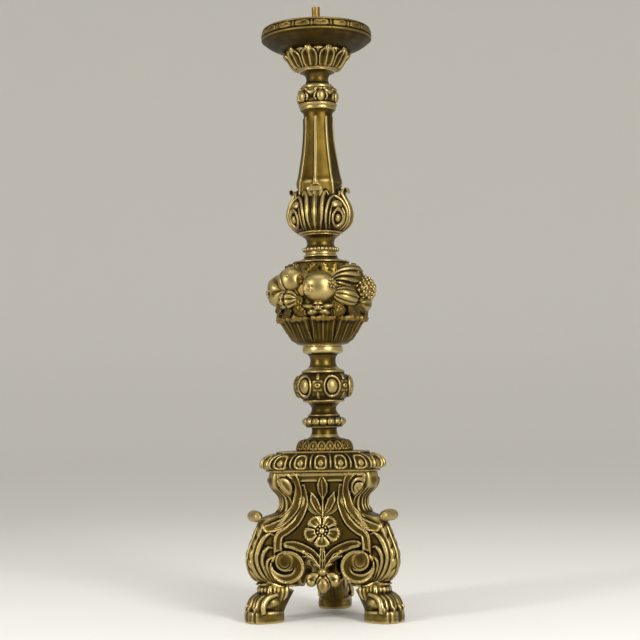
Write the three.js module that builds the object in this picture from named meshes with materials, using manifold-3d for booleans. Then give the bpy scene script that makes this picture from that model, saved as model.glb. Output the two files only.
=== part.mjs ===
// Carved and gilt torchere candle stand: a turned and carved column on a three-sided
// scrolled base with lion paw feet, and a drip pan with a candle tube on top.
// Millimetres, +Z up. The front face of the base looks along -Y.
import * as THREE from 'three';
import { mergeVertices } from 'three/addons/utils/BufferGeometryUtils.js';
import Module from 'manifold-3d';

const wasm = await Module();
wasm.setup();

// ---------------------------------------------------------------- driving dimensions

const SEAT_GAP = 0.3; // between carved pieces that lie against each other
const GLUE_GAP = 0.3; // round and over each turned spigot
const SPIGOT = { radius: 11, length: 12 }; // joins one turned section to the next
const SIDES = 3; // faces, corners and feet of the base

// The column's sections, from the base up. Each height is the section's own.
const TONGUE_RING = { height: 22, foot: 45, crown: 47.5, neck: 23 };
const GADROON_STEM = { height: 57, waist: 20, ring: 35.5, ringHeight: 21, top: 25, lobes: 14 };
const CABOCHON_KNOP = {
  height: 54, foot: 33.5, crown: 46.5, top: 31.5, bosses: 6, bearing: 24.5, boss: 3.4, frame: 2.4,
};
// A cabochon's frame: half its width as a share of its repeat's half width, its middle's height
// and half its height as shares of the knop's, and its inner edge and dome as shares of itself.
const FRAME = { half: 0.56, up: 0.48, tall: 0.3, inner: 0.8, dome: 0.74 };
const BASKET_SPOOL = { height: 40, foot: 27, waist: 20.8, fillet: 33, filletHeight: 10 };
const LEAF_BASKET = { height: 44, foot: 41, waist: 63, rim: 72, leaves: 10, curl: 4 };
const FRUIT_VASE = { height: 91, foot: 58, belly: 66, top: 36 };
const VASE_COLLAR = { height: 18, flare: 41, neck: 25.4 };
const BEAD_SPOOL = { height: 30, foot: 26, bead: 30.5, beadHeight: 8, waist: 22.7, top: 32 };
const ACANTHUS_BULB = {
  height: 85, foot: 36, belly: 51, throat: 40, lip: 42, leaves: 4, bearing: -4, leaf: 3, eye: 3.4, tip: 6,
  band: 4,
};
// What is carved on the bulb: half widths as shares of a repeat's half width, with heights and
// half heights as shares of the bulb's.
const BLADE = { half: 0.5, edge: 0.08 };
const SHIELD = { half: 0.54, up: 0.36, tall: 0.36, inner: 0.78 };
const EYE = { half: 0.24, up: 0.28, tall: 0.14 };
const BROW = { half: 0.3, up: 0.51, tall: 0.1, depth: 0.8 };
const TIP = { half: 0.42, edge: 0.1, from: 0.8 };
const FLUTED_SHAFT = { height: 127, foot: 38, waist: 23.6, top: 28, flutes: 8, flute: 2.2 };
const BEAN_KNOP = { height: 31, foot: 31, crown: 34.3, top: 27.5, bean: 1.6, beans: 6 };
const UPPER_SPOOL = { height: 30, foot: 26.5, footHeight: 5, waist: 18, top: 31 };
const LEAF_CUP = { height: 32, foot: 33, waist: 46, lip: 52.5, leaves: 12, curl: 4 };
const DRIP_PAN = {
  seat: 52, thickness: 18, belly: 79, rim: 93.5, rimHeight: 20, lip: 5, floor: 62, drop: 10,
};

// The candle fittings.
const TUBE = { radius: 7, bore: 5, rise: 58, socket: 40, screwed: 22 };
const LOCKNUT = { flats: 22, height: 7 };
const WASHER = { radius: 16, height: 2 };
const TUBE_PLAY = 0.3; // between the tube and what it passes through

// The plate on top of the base, measured from the axis to its cut corners.
const TOP_PLATE = { height: 33, top: 78, rim: 109, under: 97, filletHeight: 5, lobe: 2.2, lobes: 18 };
const PLATE_CUT = 0.18; // half width of a cut corner as a share of the corner's distance
const PLATE_SAG = 0.06; // how far a side curves in, as the same share

// The body of the base stands between the paws and the plate.
const BODY = { foot: 54, height: 183 };

// The corner scroll posts, as distances from the axis and heights over the floor.
const POST = { width: 30, back: 50, voluteReach: 94, throatReach: 71.5, throatHeight: 191 };
const EAR = { reach: 134, height: 166, thickness: 12 };
const KNEE = { reach: 142.5, height: 106, ankleReach: 111 };

// The carved side panels. A panel's ends lie set back from the posts' outer scrolls.
const PANEL = {
  thickness: 14, sag: 7, kneeSetBack: 36.5, throatSetBack: 2.5, foot: 84, frieze: 13, step: 2.5,
};
const TOP_VOLUTE = { radius: 19.5, reach: 49, drop: 20, proud: 5 };
const LOW_VOLUTE = { radius: 27, reach: 56, height: 97, proud: 6 };
const BAND = { width: 20, proud: 4, sunk: 11, swing: 66, swingHeight: 150 };
const ROSETTE = { radius: 25, depth: 10, petals: 5, height: 146, tilt: 14 };
const PENDANT = { width: 50, height: 34, depth: 13, lobe: 12 };

// A paw's reach from the axis and half width. Its cross-sections are ovals between an inner
// and an outer reach, as shares of that reach, and up is a share of the paw's height.
const PAW = { reach: 142, half: 30 };
const PAW_SECTIONS = [
  { up: 0, inner: 0.549, outer: 0.986, half: 0.93 },
  { up: 0.056, inner: 0.535, outer: 1.000, half: 1.00 },
  { up: 0.222, inner: 0.535, outer: 1.000, half: 1.00 },
  { up: 0.259, inner: 0.542, outer: 0.965, half: 0.90 },
  { up: 0.407, inner: 0.521, outer: 0.965, half: 0.93 },
  { up: 0.611, inner: 0.472, outer: 0.901, half: 0.80 },
  { up: 0.759, inner: 0.423, outer: 0.796, half: 0.63 },
  { up: 1, inner: 0.380, outer: 0.789, half: 0.60 },
];
const TOES = { count: 4, depth: 2.5, low: 13, high: 40 };
const PAW_SPIGOT = { radius: 6, length: 14, reach: 82 };

// The fruit carved round the vase. bearing is measured from the front towards the right, up is
// a share of the vase's height and out a share of its belly. size gives half the width, height
// and depth as shares of FRUIT_SIZE, and tilt turns the fruit about the outward line.
const FRUIT_SIZE = 30;
const FRUIT = [
  { name: 'pomegranate_front', bearing: 4, up: 0.51, out: 0.97, size: [0.97, 0.90, 0.87] },
  { name: 'peach_left', bearing: -44, up: 0.66, out: 0.91, size: [0.80, 0.77, 0.83] },
  { name: 'quince_left', bearing: -76, up: 0.5, out: 1.03, size: [0.90, 0.90, 0.83] },
  { name: 'husk_right', bearing: 52, up: 0.72, out: 0.86, size: [1.13, 0.60, 0.70], tilt: 16, ribs: 7 },
  { name: 'grapes_right', bearing: 84, up: 0.5, out: 1.06, size: [0.77, 0.80, 0.73] },
  { name: 'melon_right', bearing: 39, up: 0.35, out: 1.02, size: [0.80, 0.53, 0.67], tilt: -12, ribs: 8 },
  { name: 'nuts_left', bearing: -42, up: 0.32, out: 1.02, size: [0.70, 0.60, 0.67], ribs: 6 },
  { name: 'fig_right', bearing: 82, up: 0.24, out: 1.02, size: [0.67, 0.50, 0.57] },
  { name: 'blossom_front', bearing: 2, up: 0.15, out: 1.00, size: [0.70, 0.37, 0.47], ribs: 5 },
  { name: 'apple_rear_right', bearing: 132, up: 0.54, out: 1.00, size: [0.97, 0.90, 0.87] },
  { name: 'pomegranate_rear', bearing: 184, up: 0.54, out: 1.00, size: [0.97, 0.90, 0.87] },
  { name: 'husk_rear', bearing: -128, up: 0.72, out: 0.88, size: [1.10, 0.60, 0.70], tilt: -14, ribs: 7 },
  { name: 'grapes_rear_left', bearing: -126, up: 0.43, out: 1.05, size: [0.83, 0.73, 0.73] },
  { name: 'melon_rear', bearing: 160, up: 0.26, out: 1.00, size: [0.80, 0.50, 0.63], tilt: 10, ribs: 8 },
  { name: 'fig_rear_left', bearing: -164, up: 0.24, out: 1.00, size: [0.63, 0.47, 0.57] },
];

// Facets of the round pieces.
const FINE = 36;
const MIDDLE = 30;
const COARSE = 24;
const PEG_FACETS = 16;
const CURVE_STEPS = 3; // straight runs in each curve of a turning's outline

const GILT = { color: 0x9c7f3a, roughness: 0.42, metalness: 0.85 };
const WORN_GILT = { color: 0x7d6531, roughness: 0.5, metalness: 0.75 };
const BRIGHT_GILT = { color: 0xb59a52, roughness: 0.36, metalness: 0.9 };
const BRASS = { color: 0x8f7440, roughness: 0.35, metalness: 1 };

// ---------------------------------------------------------------- helpers

// Merges shared vertices and turns the faces outward.
function closed(geometry) {
  for (const name of ['normal', 'uv']) geometry.deleteAttribute(name);
  const merged = mergeVertices(geometry, 1e-3);
  const position = merged.attributes.position;
  const index = merged.index.array;
  const kept = [];
  let volume = 0;
  const [a, b, c] = [new THREE.Vector3(), new THREE.Vector3(), new THREE.Vector3()];
  for (let i = 0; i < index.length; i += 3) {
    const [p, q, r] = index.slice(i, i + 3);
    if (p === q || q === r || r === p) continue;
    kept.push([p, q, r]);
    a.fromBufferAttribute(position, p);
    b.fromBufferAttribute(position, q);
    c.fromBufferAttribute(position, r);
    volume += a.dot(b.cross(c));
  }
  merged.setIndex(kept.flatMap(([p, q, r]) => (volume < 0 ? [p, r, q] : [p, q, r])));
  return merged;
}

// Moves every vertex of a geometry by a function of its place.
function shaped(geometry, move) {
  const position = geometry.attributes.position;
  const point = new THREE.Vector3();
  for (let i = 0; i < position.count; i += 1) {
    point.fromBufferAttribute(position, i);
    move(point);
    position.setXYZ(i, point.x, point.y, point.z);
  }
  return geometry;
}

function solid(geometry) {
  const merged = closed(geometry);
  const vertProperties = new Float32Array(merged.attributes.position.array);
  const triVerts = new Uint32Array(merged.index.array);
  return new wasm.Manifold(new wasm.Mesh({ numProp: 3, vertProperties, triVerts }));
}

function geometryOf(manifold) {
  const cut = manifold.getMesh();
  const geometry = new THREE.BufferGeometry();
  geometry.setAttribute('position', new THREE.BufferAttribute(cut.vertProperties, 3));
  geometry.setIndex(new THREE.BufferAttribute(cut.triVerts, 1));
  return geometry;
}

function piece(name, geometry, finish) {
  const mesh = new THREE.Mesh(closed(geometry), new THREE.MeshStandardMaterial(finish));
  mesh.geometry.computeVertexNormals();
  mesh.name = name;
  return mesh;
}

// A round rod or hole of few facets, from one height to another.
function rod(radius, low, high) {
  const cylinder = new THREE.CylinderGeometry(radius, radius, high - low, PEG_FACETS);
  return cylinder.rotateX(Math.PI / 2).translate(0, 0, (low + high) / 2);
}

// A turning from its outline, a path of radius and height, with a mortise in its foot
// and a spigot on its head. relief gives how far the carving stands out at an angle and
// at a share of the section's height.
function turning(outline, { height, facets, steps = CURVE_STEPS, tenon = false, relief = null }) {
  const run = outline.getPoints(steps);
  const points = [new THREE.Vector2(0, 0), ...run, new THREE.Vector2(0, height)];
  const lathe = new THREE.LatheGeometry(points, facets).rotateX(Math.PI / 2);
  if (relief) {
    shaped(lathe, (point) => {
      const radius = Math.hypot(point.x, point.y);
      if (radius < SPIGOT.radius) return;
      const out = 1 + relief(Math.atan2(point.y, point.x), point.z / height) / radius;
      point.multiply(new THREE.Vector3(out, out, 1));
    });
  }
  const body = solid(lathe).add(solid(rod(SPIGOT.radius, height / 2, height + SPIGOT.length)));
  if (tenon) return geometryOf(body.add(solid(rod(SPIGOT.radius, -SPIGOT.length, height / 2))));
  return geometryOf(body.subtract(solid(rod(SPIGOT.radius + GLUE_GAP, -1, SPIGOT.length + GLUE_GAP))));
}

const outlineFrom = (radius, z) => new THREE.Path().moveTo(radius, z);
const swell = (share) => Math.sin(Math.PI * Math.min(Math.max(share, 0), 1));

// Where an angle lies in its own repeat round the column, from -1 to 1. The first repeat has
// its middle at a bearing, measured from the front towards the right.
function withinRepeat(angle, repeats, bearing) {
  const turns = (angle + Math.PI / 2 - THREE.MathUtils.degToRad(bearing)) / (2 * Math.PI);
  return 2 * (((turns * repeats + 0.5) % 1 + 1) % 1) - 1;
}

// A flat-topped oval boss: 1 up to nine tenths of its edge, and 0 from a tenth outside it.
const ovalDome = (x, z) => Math.sqrt(Math.max(0, 1 - x ** 2 - z ** 2));
const ovalBoss = (x, z) => THREE.MathUtils.smoothstep(1.1 - Math.hypot(x, z), 0, 0.2);

// ---------------------------------------------------------------- column sections

function tongueRing({ height, foot, crown, neck }) {
  const outline = outlineFrom(foot, 0)
    .quadraticCurveTo(crown, height * 0.1, crown, height * 0.3)
    .quadraticCurveTo(crown + 1, height * 0.62, foot - 6, height * 0.72)
    .quadraticCurveTo(neck + 2, height * 0.8, neck, height);
  return turning(outline, { height, facets: MIDDLE, tenon: true });
}

function gadroonStem({ height, waist, ring, ringHeight, top, lobes }) {
  const low = height * 0.3;
  const high = low + ringHeight;
  const outline = outlineFrom(TONGUE_RING.neck, 0)
    .quadraticCurveTo(waist - 1.5, low * 0.6, waist + 1, low)
    .lineTo(ring - 6, low + 2)
    .quadraticCurveTo(ring + 6, low + ringHeight * 0.42, ring - 8, high - 4)
    .lineTo(waist + 4, high)
    .quadraticCurveTo(waist - 3, (high + height) / 2, top, height);
  const relief = (angle, share) => {
    const t = (share * height - low) / ringHeight;
    return 0.8 * Math.cos(lobes * angle) * swell(t);
  };
  return turning(outline, { height, facets: lobes * 2, relief });
}

function cabochonKnop({ height, foot, crown, top, bosses, bearing, boss, frame }) {
  const fillet = height * 0.07;
  const outline = outlineFrom(foot, 0)
    .lineTo(foot, fillet)
    .quadraticCurveTo(crown - 2, height * 0.18, crown, height * 0.45)
    .quadraticCurveTo(crown - 1, height * 0.76, top + 3, height - fillet)
    .lineTo(top, height - fillet)
    .lineTo(top, height);
  const relief = (angle, share) => {
    const across = withinRepeat(angle, bosses, bearing);
    const [x, z] = [across / FRAME.half, (share - FRAME.up) / FRAME.tall];
    const ring = ovalBoss(x, z) - ovalBoss(x / FRAME.inner, z / FRAME.inner);
    return frame * ring + boss * ovalDome(x / FRAME.dome, z / FRAME.dome);
  };
  return turning(outline, { height, facets: bosses * 14, steps: 5, relief });
}

function basketSpool({ height, foot, waist, fillet, filletHeight }) {
  const top = height - filletHeight;
  const outline = outlineFrom(foot, 0)
    .quadraticCurveTo(waist - 1, height * 0.12, waist, height * 0.33)
    .quadraticCurveTo(waist, height * 0.6, waist + 7, top)
    .lineTo(fillet, top + 2)
    .lineTo(fillet, height);
  return turning(outline, { height, facets: COARSE });
}

function leafBasket({ height, foot, waist, rim, leaves, curl }) {
  const outline = outlineFrom(foot, 0)
    .quadraticCurveTo(foot + 11, height * 0.18, waist, height * 0.66)
    .quadraticCurveTo(waist + 4, height * 0.78, rim, height * 0.86)
    .quadraticCurveTo(rim + 3, height * 0.95, rim - 4, height);
  const relief = (angle, share) => {
    const across = Math.abs(Math.cos(leaves * angle / 2)) ** 0.7;
    return curl * across * swell(share - 0.3);
  };
  return turning(outline, { height, facets: leaves * 4, relief });
}

function vaseOutline({ height, foot, belly, top }) {
  return outlineFrom(foot, 0)
    .quadraticCurveTo(belly + 3, height * 0.3, belly, height * 0.55)
    .quadraticCurveTo(belly - 3, height * 0.84, top, height);
}

function vaseCollar({ height, flare, neck }) {
  const outline = outlineFrom(flare, 0)
    .quadraticCurveTo(flare - 4, height * 0.2, neck + 3, height * 0.42)
    .quadraticCurveTo(neck - 1, height * 0.6, neck, height * 0.8)
    .lineTo(neck + 0.6, height);
  return turning(outline, { height, facets: COARSE });
}

function beadSpool({ height, foot, bead, beadHeight, waist, top }) {
  const outline = outlineFrom(foot, 0)
    .lineTo(bead - 2.5, 2)
    .quadraticCurveTo(bead + 2, 2 + beadHeight / 2, bead - 3, 2 + beadHeight)
    .lineTo(waist + 1, 3 + beadHeight)
    .quadraticCurveTo(waist - 2, height * 0.62, top, height);
  return turning(outline, { height, facets: MIDDLE });
}

function acanthusBulb({ height, foot, belly, throat, lip, leaves, bearing, leaf, eye, tip, band }) {
  const outline = outlineFrom(foot, 0)
    .quadraticCurveTo(belly, height * 0.14, belly, height * 0.38)
    .quadraticCurveTo(belly - 1, height * 0.62, throat, height * 0.78)
    .quadraticCurveTo(throat, height * 0.86, lip, height * 0.92)
    .quadraticCurveTo(lip + 1, height * 0.98, FLUTED_SHAFT.foot + 1, height);
  const relief = (angle, share) => {
    const { smoothstep } = THREE.MathUtils;
    const across = Math.abs(withinRepeat(angle, leaves, bearing));
    const blade = smoothstep(BLADE.half - across, 0, BLADE.edge) * swell(share);
    const [x, z] = [(1 - across) / SHIELD.half, (share - SHIELD.up) / SHIELD.tall];
    const ring = ovalBoss(x, z) - ovalBoss(x / SHIELD.inner, z / SHIELD.inner);
    const ball = ovalDome((1 - across) / EYE.half, (share - EYE.up) / EYE.tall);
    const brow = ovalDome((1 - across) / BROW.half, (share - BROW.up) / BROW.tall);
    const curl = smoothstep(TIP.half - across, 0, TIP.edge) * swell((share - TIP.from) / (1 - TIP.from));
    return Math.max(leaf * blade, band * ring) + eye * (ball + BROW.depth * brow) + tip * curl;
  };
  return turning(outline, { height, facets: leaves * 26, steps: 5, relief });
}

function flutedShaft({ height, foot, waist, top, flutes, flute }) {
  const outline = outlineFrom(foot, 0)
    .quadraticCurveTo(waist + 2.5, height * 0.4, waist, height * 0.8)
    .lineTo(waist, height * 0.93)
    .lineTo(top, height);
  const relief = (angle, share) => {
    if (share < 0.04 || share > 0.93) return 0;
    const across = Math.abs(Math.sin(flutes * angle / 2));
    return -flute * Math.min(1, 1.6 * across ** 2);
  };
  return turning(outline, { height, facets: flutes * 6, relief });
}

function beanKnop({ height, foot, crown, top, bean, beans }) {
  const outline = outlineFrom(foot, 0)
    .lineTo(foot + 1.5, height * 0.2)
    .quadraticCurveTo(crown + 2.5, height * 0.5, crown - 2, height * 0.82)
    .lineTo(top, height);
  const relief = (angle, share) => {
    const across = Math.cos(beans * (angle + Math.PI / 2));
    return bean * across * swell((share - 0.15) / 0.8);
  };
  return turning(outline, { height, facets: beans * 6, relief });
}

function upperSpool({ height, foot, footHeight, waist, top }) {
  const outline = outlineFrom(foot, 0)
    .lineTo(foot, footHeight)
    .quadraticCurveTo(waist - 1, footHeight + 3, waist, height * 0.52)
    .quadraticCurveTo(waist + 1, height * 0.82, top, height);
  return turning(outline, { height, facets: COARSE });
}

function leafCup({ height, foot, waist, lip, leaves, curl }) {
  const outline = outlineFrom(foot, 0)
    .quadraticCurveTo(foot + 6, height * 0.16, waist - 2, height * 0.4)
    .quadraticCurveTo(waist + 2, height * 0.72, lip, height * 0.88)
    .lineTo(lip - 2, height);
  const relief = (angle, share) => {
    const across = Math.max(0, Math.cos(leaves * angle));
    return curl * across * swell((share - 0.45) / 0.58);
  };
  const cup = turning(outline, { height, facets: leaves * 3, relief });
  const mouth = height + SPIGOT.length;
  const bore = rod(TUBE.radius + TUBE_PLAY, mouth - TUBE.screwed, mouth + 1);
  return geometryOf(solid(cup).subtract(solid(bore)));
}

// The pan is a ring: its bore takes the tube, and its underside takes the cup's spigot.
function dripPan({ seat, thickness, belly, rim, rimHeight, lip, floor, drop }) {
  const hole = SPIGOT.radius + GLUE_GAP;
  const shoulder = SPIGOT.length + GLUE_GAP;
  const bore = TUBE.radius + TUBE_PLAY;
  const top = thickness + rimHeight;
  const profile = new THREE.Path().moveTo(bore, shoulder)
    .lineTo(hole, shoulder)
    .lineTo(hole, 0)
    .lineTo(seat, 0)
    .quadraticCurveTo(belly, drop * 0.5, rim - 4, thickness)
    .quadraticCurveTo(rim + 3, thickness + rimHeight * 0.4, rim - 5, top)
    .lineTo(rim - 5 - lip, top)
    .quadraticCurveTo(rim - lip - 5, thickness + 3, floor, thickness)
    .lineTo(bore, thickness)
    .lineTo(bore, shoulder);
  return new THREE.LatheGeometry(profile.getPoints(CURVE_STEPS), FINE).rotateX(Math.PI / 2);
}

// ---------------------------------------------------------------- candle fittings

// The tube is screwed into the leaf cup and bored from above as a socket.
function candleTube({ radius, bore, rise, socket, screwed }) {
  const length = rise + DRIP_PAN.thickness - SPIGOT.length + screwed - GLUE_GAP;
  const profile = [[0, 0], [radius, 0], [radius, length], [bore, length], [bore, length - socket],
    [0, length - socket]].map(([r, z]) => new THREE.Vector2(r, z));
  return new THREE.LatheGeometry(profile, COARSE).rotateX(Math.PI / 2);
}

function ringPlate(outline, bore, height) {
  outline.holes.push(new THREE.Path().absarc(0, 0, bore, 0, 2 * Math.PI));
  const options = { depth: height, bevelEnabled: false, curveSegments: COARSE / 2 };
  return new THREE.ExtrudeGeometry(outline, options);
}

function disc(radius) {
  return new THREE.Shape().absarc(0, 0, radius, 0, 2 * Math.PI);
}

function hexagon(flats) {
  const corners = Array.from({ length: 6 }, (_, i) => new THREE.Vector2(flats / Math.sqrt(3), 0)
    .rotateAround(new THREE.Vector2(), i * Math.PI / 3));
  return new THREE.Shape(corners);
}

// ---------------------------------------------------------------- top plate

// The three-sided plan with cut corners, for a corner at distance 1, starting at a corner.
function platePlan() {
  const plan = new THREE.CurvePath();
  const corner = (i, side) => new THREE.Vector2(1, side * PLATE_CUT)
    .rotateAround(new THREE.Vector2(), THREE.MathUtils.degToRad(210) + i * 2 * Math.PI / SIDES);
  for (let i = 0; i < SIDES; i += 1) {
    const [start, end, next] = [corner(i, -1), corner(i, 1), corner(i + 1, -1)];
    const middle = end.clone().lerp(next, 0.5);
    middle.setLength(middle.length() - 2 * PLATE_SAG);
    plan.add(new THREE.LineCurve(start, end));
    plan.add(new THREE.QuadraticBezierCurve(end, middle, next));
  }
  return plan;
}

function topPlate({ height, top, rim, under, filletHeight, lobe, lobes }) {
  const plan = platePlan();
  const cutShare = plan.curves[0].getLength() / plan.getLength();
  const startToFront = cutShare + (1 / SIDES - cutShare) / 2;
  const gadroons = height - filletHeight;
  const profile = outlineFrom(0, 0)
    .lineTo(under, 0)
    .lineTo(under, filletHeight - 1)
    .quadraticCurveTo(rim + 11, filletHeight + gadroons * 0.2, rim - 6, filletHeight + gadroons * 0.55)
    .quadraticCurveTo(top + 22, height - 4, top + 3, height - 2)
    .lineTo(top, height)
    .lineTo(0, height);
  const lathe = new THREE.LatheGeometry(profile.getPoints(2), lobes * 3).rotateX(Math.PI / 2);
  const plate = shaped(lathe, (point) => {
    const reach = Math.hypot(point.x, point.y);
    if (reach < 1) return;
    const share = (Math.atan2(point.y, point.x) + Math.PI / 2) / (2 * Math.PI) + startToFront + 1;
    const place = plan.getPointAt(share % 1);
    const carved = point.z > filletHeight && point.z < height - 2.1 ? lobe : 0;
    const phase = lobes * (share - cutShare / 2) * Math.PI;
    const out = reach - carved + 2 * carved * Math.abs(Math.cos(phase));
    point.set(place.x * out, place.y * out, point.z);
  });
  const mortise = rod(SPIGOT.radius + GLUE_GAP, height - SPIGOT.length - GLUE_GAP, height + 1);
  return geometryOf(solid(plate).subtract(solid(mortise)));
}

// ---------------------------------------------------------------- base body

// A post's side view, its outer edge running from the plate down over the ear and knee.
function postOutline() {
  const top = BODY.foot + BODY.height;
  const { back, voluteReach, throatReach, throatHeight } = POST;
  const under = EAR.height - EAR.thickness / 2;
  const shape = new THREE.Shape().moveTo(back + 4, top)
    .lineTo(voluteReach - 4, top)
    .quadraticCurveTo(voluteReach + 2, top - 16, voluteReach - 3, throatHeight + 14)
    .lineTo(throatReach + 1, throatHeight + 5)
    .quadraticCurveTo(throatReach - 1, throatHeight - 12, EAR.reach - 35, EAR.height + 1)
    .quadraticCurveTo(EAR.reach - 12, EAR.height + EAR.thickness, EAR.reach - 2, EAR.height + 4)
    .quadraticCurveTo(EAR.reach + 3, under, EAR.reach - 10, under - 2)
    .lineTo(EAR.reach - 14, under - 6)
    .quadraticCurveTo(KNEE.reach - 6, KNEE.height + 28, KNEE.reach, KNEE.height)
    .quadraticCurveTo(KNEE.reach - 2, KNEE.height - 32, KNEE.ankleReach, BODY.foot)
    .lineTo(back + 4, BODY.foot)
    .quadraticCurveTo(back + 18, KNEE.height, back, throatHeight);
  return shape;
}

function cornerPost() {
  const options = { depth: POST.width, bevelEnabled: false, curveSegments: 5 };
  const post = new THREE.ExtrudeGeometry(postOutline(), options);
  post.translate(0, 0, -POST.width / 2).rotateX(Math.PI / 2);
  const holeTop = BODY.foot + PAW_SPIGOT.length + GLUE_GAP;
  const hole = rod(PAW_SPIGOT.radius + GLUE_GAP, BODY.foot - 1, holeTop);
  return geometryOf(solid(post).subtract(solid(hole.translate(PAW_SPIGOT.reach, 0, 0))));
}

// How far from the axis a panel's front meets the side of a post, at a height.
function faceReach(height) {
  const top = BODY.foot + BODY.height;
  const knee = KNEE.reach - PANEL.kneeSetBack;
  const throat = POST.throatReach - PANEL.throatSetBack;
  const { smoothstep, lerp } = THREE.MathUtils;
  const below = lerp(knee, throat, smoothstep(height, KNEE.height + 20, POST.throatHeight));
  return lerp(below, POST.voluteReach - 3, smoothstep(height, POST.throatHeight + 4, top - 10));
}

// Where a panel's front lies: across runs from -1 at the left post to 1 at the right one.
function facePoint(across, height, inward) {
  const half = POST.width / 2 + SEAT_GAP;
  const reach = faceReach(height) - 2 * inward;
  const [sin, cos] = [Math.sin(Math.PI / SIDES), Math.cos(Math.PI / SIDES)];
  const x = across * (reach * sin - half * cos);
  const y = -(reach * cos + half * sin) + PANEL.sag * (1 - across ** 2);
  return new THREE.Vector3(x, y, height);
}

// The depth of a panel's front at a sideways place, found from its share of the width.
function faceDepth(x, height) {
  const end = facePoint(1, height, 0);
  return facePoint(THREE.MathUtils.clamp(x / end.x, -1, 1), height, 0).y;
}

function panelSlab(proud) {
  const top = BODY.foot + BODY.height - SEAT_GAP;
  const slab = new THREE.BoxGeometry(2, 1, 1, 6, 1, 9);
  return shaped(slab, (point) => {
    const height = THREE.MathUtils.lerp(PANEL.foot, top, point.z + 0.5);
    const place = facePoint(point.x, height, point.y > 0 ? PANEL.thickness : 0);
    if (point.y < 0) place.y -= proud;
    point.copy(place);
  });
}

// A flat disc on a panel, for the eye end of a scroll.
function volute(radius, x, front, back, height) {
  const round = new THREE.CylinderGeometry(radius, radius, back - front, 18);
  return round.translate(x, (front + back) / 2, height);
}

// The band that joins the two volutes of one side of a panel.
function scrollBand(side) {
  const topHeight = BODY.foot + BODY.height - TOP_VOLUTE.drop;
  const inner = TOP_VOLUTE.reach - TOP_VOLUTE.radius;
  const outer = LOW_VOLUTE.reach + LOW_VOLUTE.radius - 1;
  const { width, swing, swingHeight } = BAND;
  const outline = new THREE.Shape().moveTo(inner, topHeight)
    .quadraticCurveTo(inner + 3, swingHeight + 26, swing - width / 2, swingHeight - 4)
    .quadraticCurveTo(outer - width, swingHeight - 26, outer - width, LOW_VOLUTE.height)
    .lineTo(outer, LOW_VOLUTE.height)
    .quadraticCurveTo(outer, swingHeight - 20, swing + width * 0.75, swingHeight)
    .quadraticCurveTo(inner + width + 4, swingHeight + 26, inner + width, topHeight);
  const band = new THREE.ExtrudeGeometry(outline, { depth: 1, bevelEnabled: false, curveSegments: 3 });
  return shaped(band, (point) => {
    const depth = faceDepth(point.x, point.y) + (point.z > 0.5 ? BAND.sunk : -BAND.proud);
    point.set(side * point.x, depth, point.y);
  });
}

// What lies between the side planes of two neighbouring posts, with the gap kept.
function betweenPosts() {
  const half = (POST.width / 2 + SEAT_GAP) / Math.sin(Math.PI / SIDES);
  const reach = 2 * KNEE.reach;
  const sector = new THREE.Shape().moveTo(0, -half)
    .lineTo(-reach, -half - reach / Math.tan(Math.PI / SIDES))
    .lineTo(reach, -half - reach / Math.tan(Math.PI / SIDES));
  const depth = BODY.foot + BODY.height - SEAT_GAP;
  return new THREE.ExtrudeGeometry(sector, { depth, bevelEnabled: false });
}

function sidePanel() {
  const top = BODY.foot + BODY.height;
  let board = solid(panelSlab(0));
  const frieze = shaped(new THREE.BoxGeometry(2, 1, 1, 6, 1, 1), (point) => {
    const height = THREE.MathUtils.lerp(top - PANEL.frieze, top - SEAT_GAP, point.z + 0.5);
    point.set(point.x, facePoint(point.x, height, 0).y + (point.y > 0 ? 5 : -PANEL.step), height);
    point.x *= facePoint(1, height, 0).x;
  });
  board = board.add(solid(frieze));
  for (const side of [-1, 1]) {
    const topHeight = top - TOP_VOLUTE.drop;
    const topFront = facePoint(0.8, top - PANEL.frieze, 0).y - TOP_VOLUTE.proud;
    const topBack = facePoint(0.8, POST.throatHeight, 0).y + 4;
    const lowFront = facePoint(0.8, LOW_VOLUTE.height, 0).y - LOW_VOLUTE.proud;
    const lowBack = lowFront + LOW_VOLUTE.proud + PANEL.thickness * 0.7;
    board = board.add(solid(scrollBand(side)));
    const { radius: topRadius, reach: topReach } = TOP_VOLUTE;
    const { radius: lowRadius, reach: lowReach, height: lowHeight } = LOW_VOLUTE;
    board = board.add(solid(volute(topRadius, side * topReach, topFront, topBack, topHeight)));
    board = board.add(solid(volute(lowRadius, side * lowReach, lowFront, lowBack, lowHeight)));
  }
  return geometryOf(board.intersect(solid(betweenPosts())));
}

// A five-petalled flower, turned to face out and cut to lie on its panel.
function rosette({ radius, depth, petals, height, tilt }) {
  const profile = outlineFrom(0, -4)
    .lineTo(radius, -4)
    .lineTo(radius, depth * 0.35)
    .quadraticCurveTo(radius * 0.6, depth * 0.9, radius * 0.34, depth * 0.5)
    .quadraticCurveTo(radius * 0.3, depth, 0, depth);
  const flower = shaped(new THREE.LatheGeometry(profile.getPoints(2), petals * 4), (point) => {
    const span = Math.hypot(point.x, point.z);
    if (span < radius * 0.5) return;
    const share = 1 - 0.16 * (1 - Math.abs(Math.cos(petals * Math.atan2(point.x, point.z) / 2)));
    point.set(point.x * share, point.y, point.z * share);
  });
  flower.rotateX(Math.PI - THREE.MathUtils.degToRad(tilt));
  flower.translate(0, faceDepth(0, height), height);
  return geometryOf(solid(flower).subtract(solid(panelSlab(SEAT_GAP))));
}

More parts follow.
